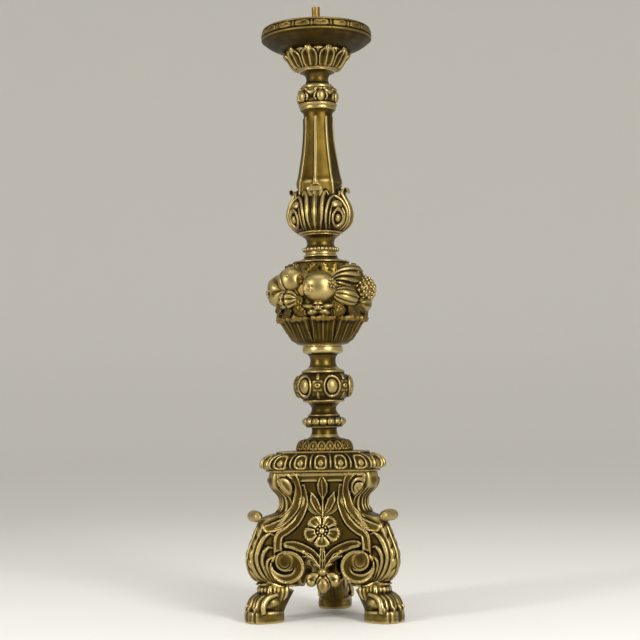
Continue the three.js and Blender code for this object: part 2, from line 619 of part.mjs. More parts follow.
// A three-lobed drop that hangs under the middle of a panel.
function pendant({ width, height, depth, lobe }) {
  const half = width / 2;
  const outline = new THREE.Shape().moveTo(-8, 0)
    .quadraticCurveTo(-half, -height * 0.2, -half, -height * 0.52)
    .quadraticCurveTo(-half + lobe * 0.5, -height * 0.85, -lobe, -height * 0.62)
    .quadraticCurveTo(-lobe, -height, 0, -height)
    .quadraticCurveTo(lobe, -height, lobe, -height * 0.62)
    .quadraticCurveTo(half - lobe * 0.5, -height * 0.85, half, -height * 0.52)
    .quadraticCurveTo(half, -height * 0.2, 8, 0);
  const drop = new THREE.ExtrudeGeometry(outline, { depth, bevelEnabled: false, curveSegments: 4 });
  drop.rotateX(Math.PI / 2);
  return drop.translate(0, faceDepth(0, PANEL.foot) + depth, PANEL.foot - SEAT_GAP);
}

// ---------------------------------------------------------------- paw feet

function pawFoot() {
  const rim = PAW_SECTIONS.map(({ up }) => new THREE.Vector2(1, up * BODY.foot));
  const unit = [new THREE.Vector2(0, 0), ...rim, new THREE.Vector2(0, BODY.foot)];
  const lathe = new THREE.LatheGeometry(unit, TOES.count * 5).rotateX(Math.PI / 2);
  const paw = shaped(lathe, (point) => {
    if (Math.hypot(point.x, point.y) < 0.5) {
      point.x += PAW_SPIGOT.reach;
      return;
    }
    const section = PAW_SECTIONS.find(({ up }) => up * BODY.foot > point.z - 0.01);
    const [inner, outer] = [section.inner * PAW.reach, section.outer * PAW.reach];
    const angle = Math.atan2(point.y, point.x);
    const toed = point.z > TOES.low && point.z < TOES.high && Math.abs(angle) < 1.3;
    const groove = toed ? TOES.depth * Math.abs(Math.sin(TOES.count * angle * 1.2)) : 0;
    point.x = (inner + outer) / 2 + ((outer - inner) / 2 - groove) * Math.cos(angle);
    point.y = (section.half * PAW.half - groove) * Math.sin(angle);
  });
  const spigot = rod(PAW_SPIGOT.radius, BODY.foot - PAW_SPIGOT.length, BODY.foot + PAW_SPIGOT.length);
  return geometryOf(solid(paw).add(solid(spigot.translate(PAW_SPIGOT.reach, 0, 0))));
}

// ---------------------------------------------------------------- fruit

// One fruit as a swollen ball, ribbed along its length, grown on every side by a margin.
function fruitBall({ bearing, up, out, size, tilt = 0, ribs = 0 }, margin) {
  const { degToRad } = THREE.MathUtils;
  const [halfWide, halfTall, halfDeep] = size.map((share) => share * FRUIT_SIZE + margin);
  const ball = shaped(new THREE.SphereGeometry(1, 10, 7).rotateZ(Math.PI / 2), (point) => {
    const rib = ribs ? 1 + 0.06 * Math.cos(ribs * Math.atan2(point.z, point.y)) : 1;
    point.set(point.x * halfWide, point.y * rib * halfDeep, point.z * rib * halfTall);
  });
  ball.rotateY(-degToRad(tilt));
  ball.translate(0, -out * FRUIT_VASE.belly, up * FRUIT_VASE.height);
  return ball.rotateZ(degToRad(bearing));
}

// A solid with its faces moved out by a margin, to cut a neighbour clear of it.
function grown(geometry, margin) {
  const skin = closed(geometry);
  skin.computeVertexNormals();
  const { position, normal } = skin.attributes;
  for (let i = 0; i < position.count; i += 1) {
    const [x, y, z] = [position.getX(i), position.getY(i), position.getZ(i)];
    position.setXYZ(i, x + margin * normal.getX(i), y + margin * normal.getY(i),
      z + margin * normal.getZ(i));
  }
  return solid(skin);
}

// ---------------------------------------------------------------- assembly

const stand = new THREE.Group();

function addAt(parent, name, geometry, finish, z = 0) {
  const mesh = piece(name, geometry, finish);
  mesh.position.z = z;
  parent.add(mesh);
}

const bodyTop = BODY.foot + BODY.height;
for (let i = 0; i < SIDES; i += 1) {
  const turn = i * 2 * Math.PI / SIDES;
  const face = new THREE.Group();
  face.rotation.z = turn;
  const facing = ['front', 'right', 'left'][i];
  addAt(face, `panel_${facing}`, sidePanel(), GILT);
  addAt(face, `rosette_${facing}`, rosette(ROSETTE), BRIGHT_GILT);
  addAt(face, `pendant_${facing}`, pendant(PENDANT), GILT);
  const corner = new THREE.Group();
  corner.rotation.z = turn - Math.PI / 6;
  const place = ['front_right', 'rear', 'front_left'][i];
  addAt(corner, `scroll_post_${place}`, cornerPost(), GILT, SEAT_GAP);
  addAt(corner, `paw_foot_${place}`, pawFoot(), BRIGHT_GILT);
  stand.add(face, corner);
}

const plateFoot = bodyTop + 2 * SEAT_GAP;
addAt(stand, 'top_plate', topPlate(TOP_PLATE), GILT, plateFoot);

const vaseTurning = () => turning(vaseOutline(FRUIT_VASE), { height: FRUIT_VASE.height, facets: COARSE });
const column = [
  ['tongue_ring', tongueRing(TONGUE_RING), WORN_GILT, TONGUE_RING.height],
  ['gadroon_stem', gadroonStem(GADROON_STEM), GILT, GADROON_STEM.height],
  ['cabochon_knop', cabochonKnop(CABOCHON_KNOP), GILT, CABOCHON_KNOP.height],
  ['basket_spool', basketSpool(BASKET_SPOOL), BRIGHT_GILT, BASKET_SPOOL.height],
  ['leaf_basket', leafBasket(LEAF_BASKET), WORN_GILT, LEAF_BASKET.height],
  ['fruit_vase', vaseTurning(), WORN_GILT, FRUIT_VASE.height],
  ['vase_collar', vaseCollar(VASE_COLLAR), BRIGHT_GILT, VASE_COLLAR.height],
  ['bead_spool', beadSpool(BEAD_SPOOL), BRIGHT_GILT, BEAD_SPOOL.height],
  ['acanthus_bulb', acanthusBulb(ACANTHUS_BULB), GILT, ACANTHUS_BULB.height],
  ['fluted_shaft', flutedShaft(FLUTED_SHAFT), GILT, FLUTED_SHAFT.height],
  ['bean_knop', beanKnop(BEAN_KNOP), GILT, BEAN_KNOP.height],
  ['upper_spool', upperSpool(UPPER_SPOOL), BRIGHT_GILT, UPPER_SPOOL.height],
  ['leaf_cup', leafCup(LEAF_CUP), GILT, LEAF_CUP.height],
];
let level = plateFoot + TOP_PLATE.height;
let vaseFoot = level;
for (const [name, geometry, finish, height] of column) {
  if (name === 'fruit_vase') vaseFoot = level;
  addAt(stand, name, geometry, finish, level);
  level += height;
}
addAt(stand, 'drip_pan', dripPan(DRIP_PAN), WORN_GILT, level);

// The fruit is cut clear of the vase, of the pieces above and below it, and of the fruit before it.
let taken = grown(vaseTurning(), SEAT_GAP);
taken = taken.add(grown(leafBasket(LEAF_BASKET).translate(0, 0, -LEAF_BASKET.height), SEAT_GAP));
taken = taken.add(grown(vaseCollar(VASE_COLLAR).translate(0, 0, FRUIT_VASE.height), SEAT_GAP));
for (const fruit of FRUIT) {
  const ball = solid(fruitBall(fruit, 0));
  addAt(stand, fruit.name, geometryOf(ball.subtract(taken)), GILT, vaseFoot);
  taken = taken.add(solid(fruitBall(fruit, SEAT_GAP)));
}

const panFloor = level + DRIP_PAN.thickness;
const tubeFoot = level + SPIGOT.length - TUBE.screwed + GLUE_GAP;
const fittingBore = TUBE.radius + TUBE_PLAY;
const washer = ringPlate(disc(WASHER.radius), fittingBore, WASHER.height);
const locknut = ringPlate(hexagon(LOCKNUT.flats), fittingBore, LOCKNUT.height);
addAt(stand, 'tube_washer', washer, BRASS, panFloor);
addAt(stand, 'tube_locknut', locknut, BRASS, panFloor + WASHER.height);
addAt(stand, 'candle_tube', candleTube(TUBE), BRASS, tubeFoot);

// The origin is on the floor, under the middle of the whole stand.
const middle = new THREE.Box3().setFromObject(stand, true).getCenter(new THREE.Vector3());
stand.position.set(-middle.x, -middle.y, 0);
stand.updateMatrixWorld(true);

export default stand;
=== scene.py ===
"""Carved and gilt torchere candle stand: its carving, its gilding and a plain studio.

Sizes are in millimetres round the column's axis and turn to metres where a mesh is made.
A bearing is an angle round the axis, from the front (-Y) towards the right (+X).
"""
import logging
import math
from dataclasses import dataclass, field
from enum import Enum
from typing import Callable, Sequence

import bpy
import numpy as np
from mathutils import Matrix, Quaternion, Vector


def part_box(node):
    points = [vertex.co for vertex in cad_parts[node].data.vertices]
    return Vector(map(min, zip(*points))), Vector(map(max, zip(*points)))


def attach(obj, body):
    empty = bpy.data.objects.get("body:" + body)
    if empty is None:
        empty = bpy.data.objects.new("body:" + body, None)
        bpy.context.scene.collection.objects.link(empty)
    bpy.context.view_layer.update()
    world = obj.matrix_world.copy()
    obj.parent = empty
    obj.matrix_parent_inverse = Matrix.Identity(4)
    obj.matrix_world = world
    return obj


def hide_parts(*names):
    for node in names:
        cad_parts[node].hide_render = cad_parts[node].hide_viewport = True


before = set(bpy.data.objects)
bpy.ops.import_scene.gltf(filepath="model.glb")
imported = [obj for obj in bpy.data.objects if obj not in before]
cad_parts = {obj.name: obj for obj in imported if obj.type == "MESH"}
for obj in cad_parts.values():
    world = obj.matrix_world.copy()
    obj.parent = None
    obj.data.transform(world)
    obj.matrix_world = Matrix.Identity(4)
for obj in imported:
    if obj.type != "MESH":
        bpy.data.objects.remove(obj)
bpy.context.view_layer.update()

log = logging.getLogger("torchere")
Array = np.ndarray
MM = 0.001
SIDES = 3
Values = float | Sequence[float]


# ------------------------------------------------------------------ numbers and paths


def ramp(low: float, high: float, value: Array) -> Array:
    """Rises smoothly from 0 at low to 1 at high.

    Args:
        low: Where the ramp starts.
        high: Where it ends. It may be below low, and then the ramp falls.
        value: The numbers to map.

    Returns:
        The mapped numbers, from 0 to 1.
    """
    share = np.clip((value - low) / (high - low), 0.0, 1.0)
    return share * share * (3.0 - 2.0 * share)


def spread(values: Values, share: Array) -> Array:
    """Reads one number, or several spread evenly along a path, at a share of its length.

    Args:
        values: One number, or the numbers from the path's start to its end.
        share: Shares of the path's length.

    Returns:
        The value at each share.
    """
    steps = np.atleast_1d(np.asarray(values, float))
    if len(steps) == 1:
        return np.full(np.shape(share), steps[0])
    return np.interp(share, np.linspace(0.0, 1.0, len(steps)), steps)


def curve(points: Sequence[Sequence[float]], per: int = 7) -> Array:
    """Draws a smooth path through points.

    Args:
        points: The points, of two or three numbers each.
        per: Steps between two points.

    Returns:
        The points of the path.
    """
    given = np.asarray(points, float)
    padded = np.vstack([2 * given[0] - given[1], given, 2 * given[-1] - given[-2]])
    run = []
    for before, start, end, after in zip(padded, padded[1:], padded[2:], padded[3:]):
        t = np.linspace(0.0, 1.0, per, endpoint=False)[:, None]
        run.append(0.5 * (2 * start + (end - before) * t
                          + (2 * before - 5 * start + 4 * end - after) * t**2
                          + (3 * start - before - 3 * end + after) * t**3))
    return np.vstack([*run, given[-1:]])


def even(path: Array, pitch: float) -> Array:
    """Spaces a path's points evenly.

    Args:
        path: The path's points.
        pitch: The wanted distance between points.

    Returns:
        The new points, with the ends kept.
    """
    reach = np.concatenate([[0.0], np.cumsum(np.linalg.norm(np.diff(path, axis=0), axis=1))])
    places = np.linspace(0.0, reach[-1], max(2, int(math.ceil(reach[-1] / pitch)) + 1))
    return np.stack([np.interp(places, reach, path[:, k]) for k in range(path.shape[1])], axis=1)


def outline(runs: Sequence[Sequence[Sequence[float]]], pitch: float) -> Array:
    """Joins smooth runs at sharp corners.

    Args:
        runs: The runs, each of two or more points. A run starts where the last one ends.
        pitch: The wanted distance between points.

    Returns:
        The points of the whole outline.
    """
    parts = [even(curve(run), pitch) for run in runs]
    return np.vstack([parts[0], *[part[1:] for part in parts[1:]]])


def spiral(centre: Sequence[float], start: float, turn: float, radii: Sequence[float]) -> Array:
    """Draws a volute's line.

    Args:
        centre: The eye of the volute.
        start: The angle at which it starts, in degrees from the first axis.
        turn: How far it turns, in degrees, negative for clockwise.
        radii: Its radius, spread evenly from start to end.

    Returns:
        The points of the line.
    """
    share = np.linspace(0.0, 1.0, max(8, int(abs(turn) / 12)))
    angle = np.radians(start + turn * share)
    radius = spread(radii, share)
    return np.stack([centre[0] + radius * np.cos(angle), centre[1] + radius * np.sin(angle)], 1)


# ------------------------------------------------------------------ shells


@dataclass
class Shell:
    """A closed surface in millimetres, with marks that its finish reads."""

    points: Array
    quads: Array
    tris: Array = field(default_factory=lambda: np.zeros((0, 3), int))
    shade_and_grime: Array | None = None

    def shade_and_grime_marks(self) -> Array:
        """Gives the painted shade and grime mark on each point."""
        return np.zeros(len(self.points)) if self.shade_and_grime is None else self.shade_and_grime

    def turned(self, bearing: float) -> "Shell":
        """Gives a copy turned about the axis, from the front towards the right."""
        cos, sin = math.cos(math.radians(bearing)), math.sin(math.radians(bearing))
        turn = np.array([[cos, sin, 0.0], [-sin, cos, 0.0], [0.0, 0.0, 1.0]])
        return Shell(self.points @ turn, self.quads, self.tris, self.shade_and_grime)

    def shifted(self, x: float = 0.0, y: float = 0.0, z: float = 0.0) -> "Shell":
        """Gives a copy moved by x, y and z."""
        return Shell(self.points + np.array([x, y, z]), self.quads, self.tris, self.shade_and_grime)


def joined(shells: Sequence[Shell]) -> Shell:
    """Puts several shells into one.

    Args:
        shells: The shells, which may meet or cross.

    Returns:
        One shell that holds them all.
    """
    starts = np.cumsum([0] + [len(shell.points) for shell in shells[:-1]])
    return Shell(
        np.vstack([shell.points for shell in shells]),
        np.vstack([shell.quads + start for shell, start in zip(shells, starts)]),
        np.vstack([shell.tris + start for shell, start in zip(shells, starts)]),
        np.concatenate([shell.shade_and_grime_marks() for shell in shells]),
    )


def lattice(rows: int, cols: int, wrap: bool) -> Array:
    """Numbers the four corners of each cell of a grid.

    Args:
        rows: The grid's rows.
        cols: The grid's columns.
        wrap: Whether the last column meets the first.

    Returns:
        One row of four point numbers a cell.
    """
    ids = np.arange(rows * cols).reshape(rows, cols)
    right = np.roll(ids, -1, axis=1)
    here, beside = (ids, right) if wrap else (ids[:, :-1], right[:, :-1])
    return np.stack([here[:-1], beside[:-1], beside[1:], here[1:]], axis=-1).reshape(-1, 4)


def sleeve(grid: Array) -> Shell:
    """Closes a grid that wraps round with a fan at each end.

    Args:
        grid: The points, as rows from the foot up and columns round the axis.

    Returns:
        The closed shell.
    """
    rows, cols = grid.shape[:2]
    ends = np.stack([grid[0].mean(axis=0), grid[-1].mean(axis=0)])
    points = np.vstack([grid.reshape(-1, 3), ends])
    ring = np.arange(cols)
    after = np.roll(ring, -1)
    foot = np.stack([np.full(cols, rows * cols), after, ring], axis=1)
    top = (rows - 1) * cols
    head = np.stack([np.full(cols, rows * cols + 1), top + ring, top + after], axis=1)
    return Shell(points, lattice(rows, cols, True), np.vstack([foot, head]))


def slab(front: Array, back: Array) -> Shell:
    """Closes two grids that lie one behind the other with a strip round their edge.

    Args:
        front: The outer grid, which faces out when its rows go up and its columns right.
        back: The inner grid, of the same shape.

    Returns:
        The closed shell.
    """
    rows, cols = front.shape[:2]
    count = rows * cols
    face = lattice(rows, cols, False)
    ids = np.arange(count).reshape(rows, cols)
    edge = np.concatenate([ids[0, :-1], ids[:-1, -1], ids[-1, :0:-1], ids[:0:-1, 0]])
    after = np.roll(edge, -1)
    rim = np.stack([after, edge, edge + count, after + count], axis=1)
    points = np.vstack([front.reshape(-1, 3), back.reshape(-1, 3)])
    return Shell(points, np.vstack([face, face[:, ::-1] + count, rim]))


def grid_normals(grid: Array, wrap: bool) -> Array:
    """Finds the outward direction at each point of a grid.

    Args:
        grid: The points, as rows going up and columns going right.
        wrap: Whether the last column meets the first.

    Returns:
        A unit vector for each point.
    """
    up = np.gradient(grid, axis=0)
    if wrap:
        across = np.roll(grid, -1, axis=1) - np.roll(grid, 1, axis=1)
    else:
        across = np.gradient(grid, axis=1)
    normal = np.cross(across, up)
    return normal / np.maximum(np.linalg.norm(normal, axis=-1, keepdims=True), 1e-9)


def loft(path: Array, wide: Values, thick: Values, side: Sequence[float],
         cols: int = 24) -> Shell:
    """Sweeps an oval along a path, with ends that close.

    Args:
        path: The middle line, of three numbers a point.
        wide: Half the oval's width along side, one number or several along the path.
        thick: Half its thickness across side.
        side: The direction of the width.
        cols: Points round the oval.

    Returns:
        The closed shell.
    """
    share = np.linspace(0.0, 1.0, len(path))
    ahead = np.gradient(path, axis=0)
    ahead /= np.linalg.norm(ahead, axis=1, keepdims=True)
    flank = np.asarray(side, float)[None] - ahead * (ahead @ np.asarray(side, float))[:, None]
    flank /= np.linalg.norm(flank, axis=1, keepdims=True)
    rise = np.cross(ahead, flank)
    angle = np.linspace(0.0, 2 * math.pi, cols, endpoint=False)
    across = (spread(wide, share)[:, None] * np.cos(angle))[..., None]
    over = (spread(thick, share)[:, None] * np.sin(angle))[..., None]
    return sleeve(path[:, None] + across * flank[:, None] + over * rise[:, None])


def leaf_tip(path: Sequence[Sequence[float]], wide: Values, thick: float, bow: float,
             rows: int = 26, cols: int = 19) -> Shell:
    """Makes the free end of a leaf that curls away from a turned section.

    Args:
        path: Its side view, as radius and height from its root to its end.
        wide: Half its width, one number or several along the path.
        thick: Its thickness at the middle.
        bow: How far its edges are bent back.
        rows: Points along it.
        cols: Points across it.

    Returns:
        The closed shell, at the front.
    """
    run = curve(path, 8)
    line = even(run, np.linalg.norm(np.diff(run, axis=0), axis=1).sum() / rows)
    ahead = np.gradient(line, axis=0)
    ahead /= np.linalg.norm(ahead, axis=1, keepdims=True)
    q = np.linspace(-1.0, 1.0, cols)[None]
    share = np.linspace(0.0, 1.0, len(line))
    aside = spread(wide, share)[:, None] * q
    body = thick / 2 * np.sqrt(1.0 - 0.92 * q**2) * np.sqrt(1.0 - 0.8 * share[:, None] ** 6)
    vein = 0.7 * np.exp(-((q / 0.16) ** 2))
    layers = []
    for side in (1.0, -1.0):
        off = side * body - bow * q**2 + (vein if side > 0 else 0.0)
        radius = line[:, :1] + off * ahead[:, 1:2]
        z = line[:, 1:2] - off * ahead[:, 0:1]
        bearing = aside / np.maximum(line[:, :1], 1.0)
        layers.append(np.stack([radius * np.sin(bearing), -radius * np.cos(bearing), z], axis=-1))
    return slab(layers[0], layers[1])


# ------------------------------------------------------------------ carving


class Cut(Enum):
    """The shape across a carved stroke."""

    ROUND = "a half round"
    SOFT = "a low swelling that dies out at its edges"
    FLAT = "a flat band with steep sides"
    HOLLOW = "a band hollowed between two raised edges"
    LEAF = "a leaf with raised edges and a middle rib"


def across(cut: Cut, q: Array) -> Array:
    """Gives a stroke's height at a share of its half width.

    Args:
        cut: The shape across the stroke.
        q: The distance from the middle line, as a share of the half width.

    Returns:
        The height, as a share of the stroke's own height.
    """
    side = np.clip(np.abs(q), 0.0, 1.0)
    if cut is Cut.ROUND:
        return np.sqrt(1.0 - side**2)
    if cut is Cut.SOFT:
        return (1.0 - side**2) ** 2
    wall = 1.0 - ramp(0.86, 1.0, side)
    if cut is Cut.FLAT:
        return wall
    if cut is Cut.HOLLOW:
        return wall * (0.62 + 0.38 * ramp(0.45, 0.8, side))
    return wall * (0.5 + 0.4 * side**1.6 + 0.45 * np.exp(-((side / 0.13) ** 2)))


class Carving:
    """The height of a surface's carving, drawn stroke by stroke in millimetres."""

    def __init__(self, u: Array, v: Array) -> None:
        """Starts a plain surface, with how far right (u) and how high (v) its points lie."""
        self.u = u
        self.v = v
        self.height = np.zeros(u.shape)
        self.cover = np.full(u.shape, -np.inf)

    def _along(self, path: Array, reach: float) -> tuple[Array, Array, Array]:
        """Measures the points near a path.

        Args:
            path: The path's points.
            reach: How far from the path a point may be.

        Returns:
            Which points are near, their share of the path's length, and their distance
            from it, positive on its left.
        """
        low, high = path.min(axis=0) - reach, path.max(axis=0) + reach
        near = (self.u > low[0]) & (self.u < high[0]) & (self.v > low[1]) & (self.v < high[1])
        u, v = self.u[near], self.v[near]
        best, share, offset = np.full(u.shape, np.inf), np.zeros(u.shape), np.zeros(u.shape)
        steps = np.diff(path, axis=0)
        lengths = np.hypot(steps[:, 0], steps[:, 1])
        total, run = lengths.sum(), 0.0
        for (x, y), (dx, dy), length in zip(path, steps, lengths):
            k = np.clip(((u - x) * dx + (v - y) * dy) / length**2, 0.0, 1.0)
            ex, ey = u - x - k * dx, v - y - k * dy
            distance = np.hypot(ex, ey)
            closer = distance < best
            best = np.where(closer, distance, best)
            share = np.where(closer, (run + k * length) / total, share)
            offset = np.where(closer, np.copysign(distance, dx * ey - dy * ex), offset)
            run += length
        return near, share, offset

    def stroke(self, path: Array, wide: Values, rise: Values, cut: Cut = Cut.ROUND) -> None:
        """Raises a stroke along a path.

        Args:
            path: The middle line.
            wide: Half the stroke's width, one number or several along the path.
            rise: Its height, one number or several along the path.
            cut: The shape across it.
        """
        near, share, offset = self._along(path, float(np.max(wide)))
        half = np.maximum(spread(wide, share), 0.05)
        q = offset / half
        lift = spread(rise, share) * across(cut, q)
        inside = np.abs(q) < 1.0
        self.height[near] = np.where(inside, np.maximum(self.height[near], lift),
                                     self.height[near])
        self.cover[near] = np.maximum(self.cover[near], half - np.abs(offset))

    def groove(self, path: Array, wide: Values, deep: Values) -> None:
        """Cuts a groove along a path.

        Args:
            path: The middle line.
            wide: Half the groove's width.
            deep: Its depth.
        """
        near, share, offset = self._along(path, float(np.max(wide)))
        q = offset / np.maximum(spread(wide, share), 0.05)
        self.height[near] -= spread(deep, share) * across(Cut.SOFT, q)

    def dome(self, centre: Sequence[float], radii: Sequence[float], rise: float,
             cut: Cut = Cut.ROUND, base: float = 0.0) -> None:
        """Raises an oval boss.

        Args:
            centre: The middle of the boss.
            radii: Its half width and half height.
            rise: How far it stands out.
            cut: The shape across it.
            base: The height of the ground that it stands on.
        """
        q = np.hypot((self.u - centre[0]) / radii[0], (self.v - centre[1]) / radii[1])
        lift = base + rise * across(cut, q)
        self.height = np.where(q < 1.0, np.maximum(self.height, lift), self.height)
        self.cover = np.maximum(self.cover, (1.0 - q) * min(radii))

    def ring(self, centre: Sequence[float], radii: Sequence[float], wide: float, rise: float,
             base: float = 0.0) -> None:
        """Raises an oval ring of half round section.

        Args:
            centre: The middle of the ring.
            radii: Its half width and half height, to the middle of its band.
            wide: Half the band's width.
            rise: How far it stands out.
            base: The height of the ground that it stands on.
        """
        q = np.hypot((self.u - centre[0]) / radii[0], (self.v - centre[1]) / radii[1])
        off = np.abs(q - 1.0) * min(radii) / wide
        lift = base + rise * across(Cut.ROUND, off)
        self.height = np.where(off < 1.0, np.maximum(self.height, lift), self.height)


# ------------------------------------------------------------------ finishes


def linear(colour: str) -> tuple[float, float, float, float]:
    """Turns an sRGB hex colour to the linear one that a shader takes.

    Args:
        colour: Six hex digits, after a hash.

    Returns:
        Red, green, blue and alpha.
    """
    parts = [int(colour[i:i + 2], 16) / 255.0 for i in (1, 3, 5)]
    made = [p / 12.92 if p <= 0.04045 else ((p + 0.055) / 1.055) ** 2.4 for p in parts]
    return made[0], made[1], made[2], 1.0


class Graph:
    """The nodes of one material."""

    def __init__(self, name: str) -> None:
        """Makes the material of this name and its shader."""
        self.material = bpy.data.materials.new(name)
        self.material.use_nodes = True
        self.nodes = self.material.node_tree.nodes
        self.shader = self.nodes["Principled BSDF"]

    def add(self, kind: str, inputs: dict | None = None, **settings: object) -> bpy.types.Node:
        """Adds a node.

        Args:
            kind: The node's type, without ShaderNode.
            inputs: A value or another node's output for each input, by name or number.
            settings: The node's own settings.

        Returns:
            The node.
        """
        node = self.nodes.new("ShaderNode" + kind)
        for name, value in settings.items():
            setattr(node, name, value)
        for key, value in (inputs or {}).items():
            self.feed(node.inputs[key], value)
        return node

    def feed(self, socket: bpy.types.NodeSocket, value: object) -> None:
        """Sets a socket to a value, or links it to another node's output."""
        if isinstance(value, bpy.types.NodeSocket):
            self.material.node_tree.links.new(value, socket)
        else:
            socket.default_value = value

    def noise(self, millimetres: float, detail: float = 3.0) -> bpy.types.NodeSocket:
        """Adds a noise whose patches have a size in millimetres, and gives its output."""
        place = self.add("TexCoord").outputs["Object"]
        inputs = {"Vector": place, "Scale": 1.0 / (millimetres * MM), "Detail": detail}
        return self.add("TexNoise", inputs).outputs["Fac"]

    def level(self, value: object, low: float, high: float) -> bpy.types.NodeSocket:
        """Maps low to 0 and high to 1 smoothly, and gives the output."""
        inputs = {"Value": value, "From Min": low, "From Max": high}
        return self.add("MapRange", inputs, interpolation_type="SMOOTHSTEP").outputs["Result"]

    def sum(self, first: object, second: object, share: float) -> bpy.types.NodeSocket:
        """Adds a share of the second value to the first, and gives the output."""
        inputs = {0: second, 1: share, 2: first}
        return self.add("Math", inputs, operation="MULTIPLY_ADD").outputs[0]

    def blend(self, share: object, first: object, second: object) -> bpy.types.NodeSocket:
        """Mixes two colours, and gives the output."""
        inputs = {0: share, 6: first, 7: second}
        return self.add("Mix", inputs, data_type="RGBA").outputs[2]


@dataclass(frozen=True)
class Finish:
    """What a piece is finished with: a record slot and a material made once."""

    slot: str
    material: bpy.types.Material


@dataclass(frozen=True)
class WaterGilding:
    """Gold leaf over red bole and gesso on carved wood, rubbed and grimed by age.

    The eye sees yellow metal on the high parts, where rubbing has kept the leaf bright and a
    painted highlight brightens it further, a little red bole where it has worn through, and dull
    brown wax and dust in the hollows, darkened further with painted shade.
    """

    slot: str
    leaf: str
    rubbed_and_highlight: str
    dust_and_shade: str
    bole: str = "#5c2a12"
    roughness: float = 0.34
    worn: float = 0.64
    cloud_mm: float = 22.0
    grain_mm: float = 1.6

    def finish(self) -> Finish:
        """Builds the material.

        Returns:
            The finish for pieces of this gilding.
        """
        graph = Graph(self.slot)
        hollow = graph.add("Attribute", attribute_name="hollow").outputs["Fac"]
        shade_and_grime = graph.add("Attribute", attribute_name="shade_and_grime").outputs["Fac"]
        cloud, grain = graph.noise(self.cloud_mm), graph.noise(self.grain_mm, 5.0)
        worked = graph.sum(hollow, grain, 0.10)
        # Painted highlight: the high parts take the pale rubbed colour. This is partly real rubbing
        # of the leaf and partly a painted highlight.
        high = graph.level(graph.sum(worked, cloud, 0.16), 0.60, 0.36)
        # Painted shade: hollows, and undersides marked by the shade and grime mark, take the dark
        # dust colour. This is partly real dust and wax and partly painted shade.
        low = graph.level(graph.sum(graph.sum(worked, cloud, 0.14), shade_and_grime, 0.5), 0.66, 0.96)
        leaf = graph.blend(graph.level(cloud, 0.35, 0.7), linear(self.leaf), linear(self.dust_and_shade))
        tone = graph.blend(0.35, linear(self.leaf), leaf)
        tone = graph.blend(high, tone, linear(self.rubbed_and_highlight))
        through = graph.level(graph.sum(grain, hollow, -0.6), self.worn - 0.10, self.worn)
        tone = graph.blend(through, tone, linear(self.bole))
        # Painted shade and dust in the hollows.
        tone = graph.blend(low, tone, linear(self.dust_and_shade))
        graph.feed(graph.shader.inputs["Base Color"], tone)
        metal = graph.add("MapRange", {"Value": low, "To Min": 0.95, "To Max": 0.75})
        graph.feed(graph.shader.inputs["Metallic"], metal.outputs["Result"])
        rough = graph.add("MapRange", {"Value": low, "To Min": self.roughness, "To Max": 0.72})
        graph.feed(graph.shader.inputs["Roughness"],
                   graph.sum(rough.outputs["Result"], grain, 0.10))
        bump = graph.add("Bump", {"Height": grain, "Strength": 0.35, "Distance": 0.25 * MM})
        graph.feed(graph.shader.inputs["Normal"], bump.outputs["Normal"])
        return Finish(self.slot, graph.material)


@dataclass(frozen=True)
class AgedBrass:
    """Turned brass left to tarnish: warm yellow metal with a brown film in the threads."""

    slot: str
    bright: str
    film: str
    roughness: float = 0.3
    film_mm: float = 6.0

    def finish(self) -> Finish:
        """Builds the material.

        Returns:
            The finish for pieces of this brass.
        """
        graph = Graph(self.slot)
        hollow = graph.add("Attribute", attribute_name="hollow").outputs["Fac"]
        film = graph.noise(self.film_mm, 4.0)
        share = graph.level(graph.sum(hollow, film, 0.35), 0.55, 0.85)
        tone = graph.blend(share, linear(self.bright), linear(self.film))
        graph.feed(graph.shader.inputs["Base Color"], tone)
        graph.feed(graph.shader.inputs["Metallic"], 1.0)
        rough = graph.add("MapRange", {"Value": share, "To Min": self.roughness, "To Max": 0.55})
        graph.feed(graph.shader.inputs["Roughness"], rough.outputs["Result"])
        return Finish(self.slot, graph.material)


@dataclass(frozen=True)
class PaintedBoard:
    """A plain painted studio surface."""

    name: str
    colour: str
    roughness: float = 0.8

    def material(self) -> bpy.types.Material:
        """Builds the material."""
        graph = Graph(self.name)
        graph.feed(graph.shader.inputs["Base Color"], linear(self.colour))
        graph.feed(graph.shader.inputs["Roughness"], self.roughness)
        return graph.material


# ------------------------------------------------------------------ workshop


def hollowness(points: Array, edges: Array, normals: Array, rounds: int, full: float) -> Array:
    """Measures how far each point lies in a hollow or on a ridge.

    Args:
        points: The points, in millimetres.
        edges: The two point numbers of each edge.
        normals: The outward direction at each point.
        rounds: How often the surface is smoothed for the comparison.
        full: The depth in millimetres that counts as a full hollow.

    Returns:
        0 on a sharp ridge, 0.5 on a plain surface and 1 in a deep hollow.
    """
    count = len(points)
    ends = np.concatenate([edges[:, 0], edges[:, 1]])
    others = np.concatenate([edges[:, 1], edges[:, 0]])
    weight = np.maximum(np.bincount(ends, minlength=count), 1)
    smooth = points.copy()
    for _ in range(rounds):
        mean = np.stack([np.bincount(ends, smooth[others, k], count) for k in range(3)], axis=1)
        smooth = 0.5 * smooth + 0.5 * mean / weight[:, None]
    depth = np.einsum("ij,ij->i", smooth - points, normals)
    return np.clip(0.5 + 0.5 * depth / full, 0.0, 1.0)


